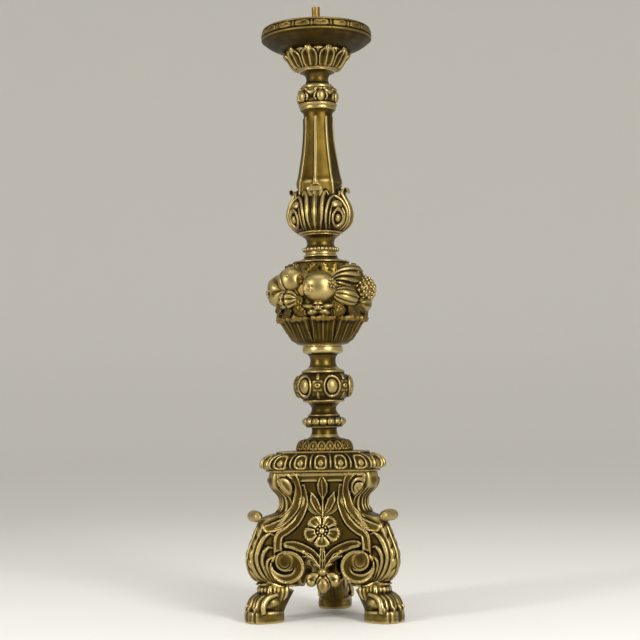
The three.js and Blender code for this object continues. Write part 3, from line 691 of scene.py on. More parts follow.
class Workshop:
    """Turns shells into finished pieces on the stand."""

    SMOOTHINGS = 26
    FULL_HOLLOW = 1.1

    def __init__(self) -> None:
        """Finds the column's axis from the candle tube."""
        low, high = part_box("candle_tube")
        middle = (low + high) / 2
        self.axis = np.array([middle.x, middle.y, 0.0])

    def level(self, node: str, top: bool = False) -> float:
        """Gives the height of a CAD node's foot or top, in millimetres."""
        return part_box(node)[1 if top else 0].z / MM

    def place(self, name: str, shell: Shell, finish: Finish, *nodes: str) -> bpy.types.Object:
        """Makes a finished piece that stands for CAD nodes.

        Args:
            name: The piece's name.
            shell: Its surface.
            finish: Its finish.
            nodes: The CAD nodes that it stands for.

        Returns:
            The piece.
        """
        mesh = bpy.data.meshes.new(name)
        faces = shell.quads.tolist() + shell.tris.tolist()
        mesh.from_pydata((shell.points * MM + self.axis).tolist(), [], faces)
        mesh.validate()
        mesh.shade_smooth()
        self._mark(mesh, shell)
        mesh.materials.append(finish.material)
        piece = bpy.data.objects.new(name, mesh)
        bpy.context.scene.collection.objects.link(piece)
        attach(piece, "root")
        if nodes:
            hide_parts(*nodes)
        log.info("%s: %d faces", name, len(mesh.polygons))
        return piece

    def _mark(self, mesh: bpy.types.Mesh, shell: Shell) -> None:
        """Writes the hollow mark and the painted shade and grime mark that the finishes read."""
        count = len(mesh.vertices)
        edges = np.zeros(len(mesh.edges) * 2, np.int32)
        mesh.edges.foreach_get("vertices", edges)
        normals = np.zeros(count * 3, np.float32)
        mesh.vertices.foreach_get("normal", normals)
        values = hollowness(shell.points, edges.reshape(-1, 2), normals.reshape(-1, 3),
                            self.SMOOTHINGS, self.FULL_HOLLOW)
        for label, marks in (("hollow", values), ("shade_and_grime", shell.shade_and_grime_marks())):
            mesh.attributes.new(label, "FLOAT", "POINT").data.foreach_set(
                "value", marks.astype(np.float32))


# ------------------------------------------------------------------ column


@dataclass
class Turning:
    """One turned and carved section of the column.

    Attributes:
        node: The CAD node that it stands for.
        runs: Its outline from the foot up, as radius and height, in runs that meet at corners.
        repeats: How often its carving repeats round it.
        phase: The bearing of the middle of one repeat.
        carve: Draws one repeat's carving, over millimetres right of its middle and up from
            the foot, or None for plain turning.
        pitch: The distance between points.
        sunk: How far its foot in CAD reaches below its outline's foot.
        tip: The free end of one of its leaves, at the front, or None.
        shade_and_grime: Painted shade and dirt all over; below 0 makes it lighter than its shape.
    """

    node: str
    runs: Sequence[Sequence[Sequence[float]]]
    repeats: int = 1
    phase: float = 0.0
    carve: Callable[["Carving", Array], None] | None = None
    pitch: float = 1.3
    sunk: float = 0.0
    tip: Shell | None = None
    shade_and_grime: float = 0.0

    def shell(self, foot: float) -> Shell:
        """Builds the section.

        Args:
            foot: The height of its foot over the floor.

        Returns:
            The closed shell.
        """
        path = outline(self.runs, self.pitch)
        radius, height = path[:, 0], path[:, 1]
        cols = int(2 * math.pi * radius.max() / self.pitch)
        bearing = np.linspace(-math.pi, math.pi, cols, endpoint=False)
        along = np.gradient(path, axis=0)
        along /= np.maximum(np.linalg.norm(along, axis=1, keepdims=True), 1e-9)
        lift = np.zeros((len(path), cols))
        if self.carve is not None:
            step = 2 * math.pi / self.repeats
            local = (bearing - math.radians(self.phase) + step / 2) % step - step / 2
            share = local / (step / 2)
            carving = Carving(radius[:, None] * local[None], np.repeat(height[:, None], cols, 1))
            self.carve(carving, np.repeat(share[None], len(path), 0))
            lift = carving.height
        out = radius[:, None] + along[:, 1:2] * lift
        up = height[:, None] - along[:, 0:1] * lift
        grid = np.stack([out * np.sin(bearing), -out * np.cos(bearing), up + foot], axis=-1)
        shells = [sleeve(grid)]
        if self.tip is not None:
            turns = self.phase + 360.0 / self.repeats * np.arange(self.repeats)
            shells += [self.tip.turned(turn).shifted(z=foot) for turn in turns]
        shell = joined(shells)
        shell.shade_and_grime = np.full(len(shell.points), self.shade_and_grime)
        return shell


def tongues(carving: Carving, share: Array) -> None:
    """Carves one tongue with beads under it, for the ring on the plate."""
    carving.ring((0.0, 8.0), (5.6, 7.0), 1.5, 1.7)
    carving.dome((0.0, 9.0), (3.2, 5.2), 1.3)
    for side in (-3.7, 3.7):
        carving.dome((side, 3.0), (3.0, 2.9), 2.3)


def gadroons(carving: Carving, share: Array) -> None:
    """Carves one short gadroon of the small ring under the knop."""
    carving.dome((0.0, 25.0), (6.4, 6.8), 1.9, Cut.ROUND)
    carving.dome((0.0, 25.0), (3.2, 4.0), 0.9, Cut.SOFT, base=1.7)
    edge = np.exp(-(((np.abs(share) - 1.0) / 0.12) ** 2)) * ramp(19.0, 21.0, carving.v)
    carving.height -= 0.9 * edge * ramp(32.0, 30.0, carving.v)


def cabochons(carving: Carving, share: Array) -> None:
    """Carves one framed cabochon and half of the pellet bars beside it."""
    u, v = carving.u, carving.v
    side = (1.0 - np.abs(share)) * math.pi / 6 * 47.0
    spandrel = ramp(13.5, 5.0, side) * ramp(11.0, 7.0, np.abs(v - 26.5))
    pellet = np.clip(1.0 - (side / 4.6) ** 2 - ((v - 27.0) / 3.6) ** 2, 0.0, 1.0) ** 0.5
    hole = np.exp(-((side / 1.4) ** 2 + ((v - 27.0) / 1.4) ** 2))
    dart = np.clip(1.0 - side / (1.2 + 0.42 * np.clip(17.0 - v, 0.0, None)), 0.0, 1.0)
    dart *= ramp(4.5, 7.0, v) * ramp(18.5, 16.0, v)
    drop = np.clip(1.0 - (side / 3.2) ** 2 - ((v - 41.0) / 6.0) ** 2, 0.0, 1.0) ** 0.5
    carving.height += np.maximum(1.3 * spandrel + 1.7 * pellet - 3.0 * hole, 1.9 * dart)
    carving.height = np.maximum(carving.height, 1.9 * drop)
    inside = np.hypot(u / 14.2, (v - 26.0) / 16.8) < 1.0
    carving.height = np.where(inside, 0.4, carving.height)
    carving.ring((0.0, 26.0), (12.8, 15.4), 1.5, 2.5, base=0.9)
    carving.height -= 1.9 * np.exp(-(((np.hypot(u / 10.6, (v - 26.0) / 13.0) - 1.0) / 0.10) ** 2))
    carving.dome((0.0, 26.0), (9.4, 11.8), 3.6, Cut.ROUND, base=0.0)


def basket_leaves(carving: Carving, share: Array) -> None:
    """Carves one broad ribbed leaf of the basket, with its edge rolled outward."""
    side, v = np.abs(share), carving.v
    body = ramp(3.0, 12.0, v)
    ribs = (0.34 + 0.1 * np.cos(share * 9.0)) * np.cos(share * math.pi * 6.0)
    ribs += 1.0 * np.exp(-((share / 0.05) ** 2))
    edge = 2.3 * np.exp(-(((side - 0.86 + 0.1 * ramp(8.0, 26.0, v)) / 0.035) ** 2))
    slit = -2.6 * np.exp(-(((side - 0.98) / 0.06) ** 2)) * ramp(42.0, 36.0, v)
    crest = 0.5 + 0.5 * np.cos(side * math.pi)
    lip = 5.0 * ramp(34.0, 41.0, v) * crest + 1.6 * np.cos(side * 8.0) * ramp(38.0, 42.0, v)
    notch = -3.6 * ramp(38.5, 42.6, v) * np.exp(-(((side - 1.0) / 0.16) ** 2))
    carving.height += body * (ribs + edge + slit + 1.2 * side**2) + lip + notch


def beads(carving: Carving, share: Array) -> None:
    """Carves one small bead."""
    carving.dome((0.0, 4.4), (3.0, 3.2), 3.0)


def acanthus(carving: Carving, share: Array) -> None:
    """Carves one leaf of the bulb and, at its sides, half of the scrolled shields."""
    v = carving.v
    right = Carving(np.abs(share) * 39.3, v)
    right.stroke(curve([(0, 1), (0, 26), (0, 48), (0, 70)]), (12.5, 17.0, 15.5, 13.5),
                 (1.4, 3.0, 3.6, 3.8), Cut.SOFT)
    right.dome((39.3, 44.5), (11.5, 7.2), 5.4, Cut.ROUND)
    band = curve([(22, 4), (18.6, 16), (18.8, 31), (23, 45), (30, 55), (39.3, 60)])
    right.stroke(band, (1.4, 2.4, 2.8, 3.2, 3.0, 2.0), (1.0, 3.8, 5.0, 5.4, 5.0, 3.0), Cut.ROUND)
    inner = curve([(28, 6), (25.2, 17), (25.6, 30), (29.5, 42)])
    right.stroke(inner, (0.8, 1.3, 1.5, 0.9), (0.8, 2.8, 3.4, 2.0), Cut.ROUND)
    lobe = curve([(9.5, 6), (11.5, 26), (12.5, 44), (16.5, 60), (22.5, 66.5), (26.5, 61)])
    right.stroke(lobe, (1.4, 3.0, 4.0, 4.6, 4.2, 1.6), (1.6, 4.6, 5.6, 6.4, 6.0, 3.0), Cut.ROUND)
    right.stroke(curve([(0, 3), (0, 28), (0, 52), (0, 72)]), (1.0, 1.5, 1.7, 1.3),
                 (2.2, 4.6, 5.2, 5.0))
    for path, wide, deep in (([(3.6, 8), (5.0, 30), (5.6, 52), (7.6, 70)], 1.5, 1.5),
                             ([(8.0, 10), (9.6, 30), (9.4, 48), (11.5, 62)], 1.1, 1.3),
                             ([(14.6, 14), (16.2, 34), (17.4, 48)], 1.2, 2.0)):
        right.groove(curve(path), wide, (0.4, deep, deep, 0.4))
    right.dome((39.3, 56.0), (4.6, 4.0), -4.0, Cut.ROUND, base=3.0)
    right.groove(curve([(0, 76), (6, 75.5), (12, 72)]), 3.6, (4.5, 4.0, 1.5))
    right.ring((39.3, 23.0), (9.6, 12.4), 1.9, 4.2, base=0.4)
    right.stroke(curve([(32.2, 29), (35.6, 35), (39.3, 38.4)]), (1.4, 2.0, 1.6), (2.4, 4.8, 5.2))
    right.dome((39.3, 22.4), (5.4, 6.6), 5.4, Cut.ROUND, base=0.2)
    fillet = 2.2 * ramp(3.0, 1.6, 39.3 - right.u)
    flute = -2.0 * np.clip(1.0 - ((right.u - 19.6) / 15.0) ** 2, 0.0, 1.0) ** 0.6
    bare = ramp(60.0, 68.0, v) * (right.height < 0.5)
    carving.height += right.height + bare * (fillet + flute)


def flutes(carving: Carving, share: Array) -> None:
    """Carves one raised fillet and half of the flutes beside it."""
    u, v = np.abs(carving.u), carving.v
    top = ramp(120.0, 92.0, v)
    fillet = ramp(2.5, 1.6, np.hypot(u, np.clip(v - 108.0, 0.0, None)))
    flute = np.clip(1.0 - ((1.0 - np.abs(share)) / 0.78) ** 2, 0.0, 1.0) ** 0.6
    carving.height += 1.5 * fillet * ramp(114.0, 111.0, v)
    carving.height -= 1.5 * flute * top


def beans(carving: Carving, share: Array) -> None:
    """Carves one upright bean and half of the swags beside it."""
    side = (1.0 - np.abs(share)) * math.pi / 6 * 33.5
    v = carving.v
    swag = np.clip(1.0 - ((v - 21.5 - 0.05 * side**2) / 4.0) ** 2, 0.0, 1.0) ** 0.5
    hollow = np.exp(-((side / 7.0) ** 2 + ((v - 13.5) / 4.5) ** 2))
    carving.height += 2.6 * swag * ramp(13.0, 11.0, side) - 2.6 * hollow
    arms = curve([(6.5, 22.0), (9.8, 17.0), (10.2, 12.0), (7.6, 8.6)])
    for way in (-1.0, 1.0):
        carving.stroke(arms * np.array([way, 1.0]), (1.2, 1.9, 1.9, 1.0), (2.2, 2.8, 2.8, 1.6))
    carving.dome((0.0, 15.6), (6.8, 9.6), 5.0)


def cup_leaves(carving: Carving, share: Array) -> None:
    """Carves one leaf of the cup under the pan, and the tips that show between leaves."""
    side, v = np.abs(share), carving.v
    top = np.clip(1.0 - (np.clip(v - 14.0, 0.0, None) / 17.0) ** 2.6, 0.0, 1.0)
    wide = 0.96 * top**0.55 * ramp(-10.0, 8.0, v)
    inside = ramp(0.0, 0.07, wide - side)
    edge = np.exp(-(((side - wide + 0.13) / 0.085) ** 2))
    hollow = -1.2 * np.exp(-(((side - 0.45 * wide) / 0.16) ** 2))
    rib = np.exp(-((side / 0.10) ** 2))
    curl = 3.0 * ramp(19.0, 29.0, v)
    behind = ramp(0.50, 0.75, side) * ramp(12.0, 27.0, v)
    behind *= 1.0 + 1.2 * np.exp(-(((side - 1.0) / 0.07) ** 2))
    leaf = inside * (2.4 + 1.9 * edge + 1.3 * rib + hollow + curl) * ramp(1.0, 6.0, v)
    carving.height += np.maximum(leaf, 1.2 * behind)


def column_sections() -> list[Turning]:
    """Lists the turned sections, from the plate up to the pan.

    Returns:
        The sections with their outlines and carving.
    """
    return [
        Turning("tongue_ring", [[(43.0, 0), (45.0, 2.4), (44.8, 7), (42.8, 12), (39.6, 15.6)],
                                [(39.6, 15.6), (37.0, 16.6), (34.4, 18.8)],
                                [(34.4, 18.8), (28.4, 19.6), (24.2, 22)]],
                repeats=20, carve=tongues, pitch=0.95, sunk=12.0),
        Turning("gadroon_stem", [[(24.2, 0), (21.6, 5), (20.6, 10), (20.8, 15)],
                                 [(20.8, 15), (29.4, 15.8), (29.8, 17.4)],
                                 [(29.8, 17.4), (30.4, 19.2), (33.6, 23.4), (33.4, 28), (29.4, 32)],
                                 [(29.4, 32), (26.4, 33), (26.6, 36.4)],
                                 [(26.6, 36.4), (23.4, 38), (20.4, 44), (20.8, 49), (25.4, 55),
                                  (29.8, 57)]],
                repeats=16, phase=4.0, carve=gadroons, pitch=0.95),
        Turning("cabochon_knop", [[(29.8, 0), (33.6, 0.8)], [(33.6, 0.8), (34.4, 2.4), (33.8, 4.2)],
                                  [(33.8, 4.2), (35.4, 6), (42.4, 12), (45.8, 20), (46.6, 27),
                                   (45.2, 35), (41.2, 42), (36.4, 46.4)],
                                  [(36.4, 46.4), (34.6, 47.2), (35.4, 49.6), (34.4, 52)],
                                  [(34.4, 52), (31.6, 53), (29.6, 54)]],
                repeats=6, phase=24.5, carve=cabochons, pitch=0.95),
        Turning("basket_spool", [[(29.6, 0), (25.6, 2.2), (22.4, 6.4), (21.0, 13), (21.6, 19),
                                  (24.6, 24.6)],
                                 [(24.6, 24.6), (31.4, 26.6)],
                                 [(31.4, 26.6), (33.2, 29), (33.4, 34), (32.4, 37.2)],
                                 [(32.4, 37.2), (31.8, 38.4), (35.0, 40)]]),
        Turning("leaf_basket", [[(34.0, 0), (40.0, 1.0), (45.6, 5), (50.4, 11), (55.4, 19),
                                 (60.4, 27), (65.2, 35), (68.6, 40.6)],
                                [(68.6, 40.6), (69.8, 42.0), (69.2, 43.0), (67.4, 42.8)],
                                [(67.4, 42.8), (63.0, 40.6), (59.0, 40.0)]],
                repeats=9, phase=8.0, carve=basket_leaves, pitch=1.15),
        Turning("fruit_vase", [[(58.0, 0), (64.6, 24), (66.0, 48), (60.0, 70), (47.0, 86),
                                (44.0, 91)]], pitch=2.4),
        Turning("vase_collar", [[(44.0, 0), (47.0, 0.2)], [(47.0, 0.2), (47.4, 1.6), (45.4, 3)],
                                [(45.4, 3), (35.4, 5.2), (28.6, 8.2), (27.0, 9.4)],
                                [(27.0, 9.4), (28.6, 11.2), (27.4, 13.4)],
                                [(27.4, 13.4), (25.6, 14.6), (25.8, 18)]]),
        Turning("bead_spool", [[(25.8, 0), (27.6, 0.8)], [(27.6, 0.8), (28.0, 4.4), (27.4, 8)],
                               [(27.4, 8), (24.4, 8.8), (22.8, 13), (22.6, 17), (25.0, 23),
                                (30.6, 27.4)],
                               [(30.6, 27.4), (32.2, 28), (32.0, 29.4), (31.0, 30)]],
                repeats=28, carve=beads, pitch=0.85),
        Turning("acanthus_bulb", [[(31.0, 0), (35.4, 1.2)], [(35.4, 1.2), (36.4, 2.6), (35.8, 4)],
                                  [(35.8, 4), (40.6, 7), (46.6, 14), (50.0, 24), (50.4, 34),
                                   (47.0, 46), (41.6, 58), (38.6, 68), (37.6, 78), (37.0, 85),
                                     (34.6, 94)]],
                repeats=4, phase=-4.0, carve=acanthus, pitch=1.0,
                tip=leaf_tip([(40.6, 56), (41.6, 63), (43.4, 69.5), (46.0, 73.6), (48.4, 73.4),
                              (49.2, 70.2), (48.4, 67.2)],
                             (10.0, 13.0, 13.6, 13.6, 13.2, 12.6, 11.6), 3.4, 0.7)),
        Turning("fluted_shaft", [[(34.6, -9), (37.2, 0), (34.6, 11), (31.0, 31), (27.6, 52),
                                  (25.2, 74),
                                  (24.0, 95), (24.0, 112)],
                                 [(24.0, 112), (24.4, 117), (27.8, 121.4)],
                                 [(27.8, 121.4), (29.6, 122.6), (29.8, 127)]],
                repeats=8, phase=-4.4, carve=flutes, pitch=1.0, shade_and_grime=-0.35),
        Turning("bean_knop", [[(29.8, 0), (31.8, 2.6), (31.6, 5)], [(31.6, 5), (29.8, 6.4)],
                              [(29.8, 6.4), (31.4, 11), (31.8, 17), (30.4, 24)],
                              [(30.4, 24), (29.4, 25.2)], [(29.4, 25.2), (30.6, 27), (29.6, 29)],
                              [(29.6, 29), (28.2, 29.8), (27.2, 31)]],
                repeats=6, phase=16.0, carve=beans, pitch=0.85),
        Turning("upper_spool", [[(27.2, 0), (26.8, 3.6), (25.2, 6)],
                                [(25.2, 6), (20.4, 8.4), (18.5, 14), (18.6, 19), (21.4, 24),
                                 (26.6, 27.6)],
                                [(26.6, 27.6), (30.4, 28.2), (31.4, 30)]]),
        Turning("leaf_cup", [[(31.4, 0), (32.2, 1.6)],
                             [(32.2, 1.6), (36.0, 4.6), (41.4, 11), (45.6, 18), (49.2, 25),
                              (51.0, 30)],
                             [(51.0, 30), (48.0, 32)]],
                repeats=10, phase=-8.5, carve=cup_leaves, pitch=0.95),
    ]


@dataclass
class Pan:
    """The drip pan: a smooth dished underside and a carved rim that leans in."""

    lengths: int = 18
    pitch: float = 1.2
    phase: float = 12.0

    def carve(self, carving: Carving, share: Array) -> None:
        """Carves one length of the rim, a long ribbon between two beads."""
        half = 15.2
        carving.dome((0.0, 29.5), (half - 2.2, 5.2), 1.6, Cut.FLAT)
        carving.stroke(curve([(-half + 4, 26.4), (0, 25.2), (half - 4, 26.4)]), 1.2, 2.2)
        carving.stroke(curve([(-half + 5, 31.6), (-3, 30.2), (4, 32.4), (half - 5, 30.8)]),
                       (0.8, 1.9, 1.0), 2.4)
        for side in (-half, half):
            carving.dome((side, 29.0), (1.3, 5.0), 2.0)

    def shell(self, foot: float) -> Shell:
        """Builds the pan.

        Args:
            foot: The height of its foot over the floor.

        Returns:
            The closed shell, with painted shade on its underside.
        """
        turning = Turning("drip_pan", [
            [(14.0, 0), (40.0, 0.2), (54.0, 0.8)],
            [(54.0, 0.8), (64.0, 3.4), (76.0, 8.6), (84.6, 14.0), (89.8, 18.6)],
            [(89.8, 18.6), (91.6, 19.6), (91.6, 21.6)], [(91.6, 21.6), (89.8, 22.8)],
            [(89.8, 22.8), (90.0, 28), (88.4, 34)], [(88.4, 34), (89.6, 36.2), (87.4, 38)],
            [(87.4, 38), (83.4, 37.4)], [(83.4, 37.4), (79.4, 26.0), (69.6, 19.6), (61.0, 18)],
            [(61.0, 18), (14.0, 18)]],
            repeats=self.lengths, phase=self.phase, carve=self.carve, pitch=self.pitch)
        shell = turning.shell(foot)
        up = shell.points[:, 2] - foot
        reach = np.hypot(shell.points[:, 0], shell.points[:, 1])
        # Painted shade: the dished underside is marked to darken, as shade falls under the pan.
        under = ramp(19.6, 17.6, up) * (reach > 20.0) * (up < reach * 0.24)
        shell.shade_and_grime = np.where(under > 0, 0.30 * under, 0.0)
        return shell


@dataclass
class CandleFittings:
    """The screwed tube with its washer and locknut."""

    tube_radius: float = 7.0
    bore: float = 5.0
    thread_pitch: float = 1.4
    thread_depth: float = 0.22
    washer_radius: float = 16.0
    nut_flats: float = 22.0

    def tube(self, foot: float, top: float) -> Shell:
        """Builds the threaded tube, open at its top.

        Args:
            foot: The height of its foot over the floor.
            top: The height of its top.

        Returns:
            The closed shell.
        """
        length = top - foot
        z = np.arange(0.0, length, self.thread_pitch / 6)
        outer = self.tube_radius - self.thread_depth * (1 - np.cos(
            2 * math.pi * z / self.thread_pitch))
        path = [np.stack([outer, z], axis=1)]
        path.append(outline([[(self.tube_radius - 0.5, length), (self.bore, length)],
                             [(self.bore, length), (self.bore, length - 40.0)],
                             [(self.bore, length - 40.0), (0.3, length - 40.0)]], 1.0))
        line = np.vstack(path)
        bearing = np.linspace(-math.pi, math.pi, 40, endpoint=False)
        grid = np.stack([line[:, :1] * np.sin(bearing), -line[:, :1] * np.cos(bearing),
                         np.repeat(line[:, 1:] + foot, 40, 1)], axis=-1)
        return sleeve(grid)

    def plate(self, radius: Callable[[Array], Array], foot: float, top: float) -> Shell:
        """Builds a pierced plate with eased edges.

        Args:
            radius: Gives the outline's radius at a bearing.
            foot: The height of its foot over the floor.
            top: The height of its top.

        Returns:
            The closed shell, a ring round the tube.
        """
        bearing = np.linspace(-math.pi, math.pi, 96, endpoint=False)
        hole = np.full(96, self.tube_radius + 0.3)
        ease = min(0.9, (top - foot) * 0.25)
        outer = radius(bearing)
        rings = [(hole, foot), (outer - ease, foot), (outer, foot + ease), (outer, top - ease),
                 (outer - ease, top), (hole, top), (hole, foot)]
        grid = np.stack([np.stack([reach * np.sin(bearing), -reach * np.cos(bearing),
                                   np.full(96, z)], axis=-1) for reach, z in rings])
        return Shell(grid[:-1].reshape(-1, 3), np.where(
            lattice(len(rings), 96, True) >= (len(rings) - 1) * 96,
            lattice(len(rings), 96, True) - (len(rings) - 1) * 96, lattice(len(rings), 96, True)))

    def washer(self, bearing: Array) -> Array:
        """Gives the washer's radius at a bearing."""
        return np.full(bearing.shape, self.washer_radius)

    def nut(self, bearing: Array) -> Array:
        """Gives the hexagon nut's radius at a bearing."""
        local = (bearing + math.pi / 6) % (math.pi / 3) - math.pi / 6
        return self.nut_flats / 2 / np.cos(local)


class Column:
    """The turned column with its pan and candle fittings."""

    BRIGHT = {"basket_spool", "vase_collar", "bead_spool", "upper_spool"}
    WORN = {"tongue_ring", "leaf_basket", "fruit_vase"}

    def build(self, shop: Workshop, finishes: dict[str, Finish]) -> None:
        """Makes every piece of the column.

        Args:
            shop: The workshop.
            finishes: The finishes by record slot.
        """
        for section in column_sections():
            foot = shop.level(section.node) + section.sunk
            slot = "gilt_wood"
            if section.node in self.BRIGHT:
                slot = "bright_gilt_wood"
            if section.node in self.WORN:
                slot = "worn_gilt_wood"
            shop.place(f"carved_{section.node}", section.shell(foot), finishes[slot], section.node)
        pan = Pan().shell(shop.level("drip_pan"))
        shop.place("carved_drip_pan", pan, finishes["worn_gilt_wood"], "drip_pan")
        fittings, brass = CandleFittings(), finishes["brass_fittings"]
        tube = fittings.tube(shop.level("candle_tube"), shop.level("candle_tube", True))
        shop.place("threaded_candle_tube", tube, brass, "candle_tube")
        for name, radius in (("tube_washer", fittings.washer), ("tube_locknut", fittings.nut)):
            plate = fittings.plate(radius, shop.level(name), shop.level(name, True))
            shop.place(f"turned_{name}", plate, brass, name)


# ------------------------------------------------------------------ base


@dataclass
class BaseFace:
    """Where the face of a side panel lies, in front of the axis.

    Attributes:
        post_half: Half a post's width with its gap.
        knee_reach: The face's reach at the posts, at knee height.
        throat_reach: The same at the throat.
        top_reach: The same under the plate.
        knee: The knee's height, where the face starts to lean in.
        throat: The throat's height.
        top: The height of the plate's underside.
        sag: How far the face curves in at its middle.
    """

    post_half: float = 15.3
    knee_reach: float = 106.0
    throat_reach: float = 69.0
    top_reach: float = 91.0
    knee: float = 106.0
    throat: float = 191.0
    top: float = 237.0
    sag: float = 7.0

    def reach(self, z: Array) -> Array:
        """Gives how far out the face meets the posts at a height."""
        below = ramp(self.knee + 20, self.throat, z)
        above = ramp(self.throat + 4, self.top - 10, z)
        reach = self.knee_reach + (self.throat_reach - self.knee_reach) * below
        return reach + (self.top_reach - reach) * above

    def half(self, z: Array) -> Array:
        """Gives half the width between the posts at a height."""
        return self.reach(z) * math.sin(math.pi / 3) - self.post_half * 0.5

    def depth(self, x: Array, z: Array) -> Array:
        """Gives how far in front of the axis the face lies, as a negative number."""
        share = np.clip(x / self.half(z), -1.0, 1.0)
        front = self.reach(z) * 0.5 + self.post_half * math.sin(math.pi / 3)
        return -front + self.sag * (1.0 - share**2)


FACE = BaseFace()


def relief_plate(carving: Carving, pitch: float, thickness: float, lift: float = 0.0) -> Shell:
    """Cuts a carved board out of a grid along the outline of its carving.

    Args:
        carving: The carving, over a grid of places on the base's face.
        pitch: The grid's pitch.
        thickness: The board's thickness behind the face.
        lift: How far the whole board stands in front of the face.

    Returns:
        The closed board, standing upright in front of the axis.
    """
    u, v, cover = carving.u.copy(), carving.v.copy(), carving.cover
    kept = cover > 0
    cells = kept[:-1, :-1] & kept[1:, :-1] & kept[:-1, 1:] & kept[1:, 1:]
    near = np.clip(cover, -4 * pitch, 4 * pitch)
    rise_v, rise_u = np.gradient(near, pitch)
    steep = np.maximum(rise_u**2 + rise_v**2, 0.25)
    rim = np.zeros(cover.shape, bool)
    inner = np.zeros(cover.shape, int)
    for i, j in ((0, 0), (1, 0), (0, 1), (1, 1)):
        inner[i:cells.shape[0] + i, j:cells.shape[1] + j] += cells
    rim[(inner > 0) & (inner < 4)] = True
    step = np.where(rim, np.clip(near / steep, -0.8 * pitch, 0.8 * pitch), 0.0)
    u -= np.clip(step * rise_u, -0.6 * pitch, 0.6 * pitch)
    v -= np.clip(step * rise_v, -0.6 * pitch, 0.6 * pitch)
    ground = np.stack([u, FACE.depth(u, v) - lift, v], axis=-1)
    front = ground + grid_normals(ground, False) * carving.height[..., None]
    back = ground + np.array([0.0, thickness + lift, 0.0])
    cols = cover.shape[1]
    corner = np.argwhere(cells)
    first = corner[:, 0] * cols + corner[:, 1]
    face = np.stack([first, first + 1, first + cols + 1, first + cols], axis=1)
    sides = np.concatenate([face[:, [0, 1]], face[:, [1, 2]], face[:, [2, 3]], face[:, [3, 0]]])
    key = sides.min(axis=1) * cover.size + sides.max(axis=1)
    _, index, times = np.unique(key, return_index=True, return_counts=True)
    edge = sides[index[times == 1]]
    wall = np.stack([edge[:, 1], edge[:, 0], edge[:, 0] + cover.size, edge[:, 1] + cover.size], 1)
    quads = np.vstack([face, face[:, ::-1] + cover.size, wall])
    points = np.vstack([front.reshape(-1, 3), back.reshape(-1, 3)])
    used, renumbered = np.unique(quads, return_inverse=True)
    return Shell(points[used], renumbered.reshape(quads.shape))


def face_grid(half: float, low: float, high: float, pitch: float) -> Carving:
    """Starts the carving of a board on the base's face.

    Args:
        half: Half its width.
        low: The height of its foot.
        high: The height of its top.
        pitch: The grid's pitch.

    Returns:
        A plain surface with no outline yet.
    """
    u, v = np.meshgrid(np.arange(-half, half + pitch, pitch), np.arange(low, high + pitch, pitch))
    return Carving(u, v)


def mirrored(path: Sequence[Sequence[float]], side: float) -> Array:
    """Draws a smooth path on the right, or its mirror image on the left.

    Args:
        path: The points on the right.
        side: 1 for the right and -1 for the left.

    Returns:
        The path.
    """
    return curve([(side * x, z) for x, z in path])


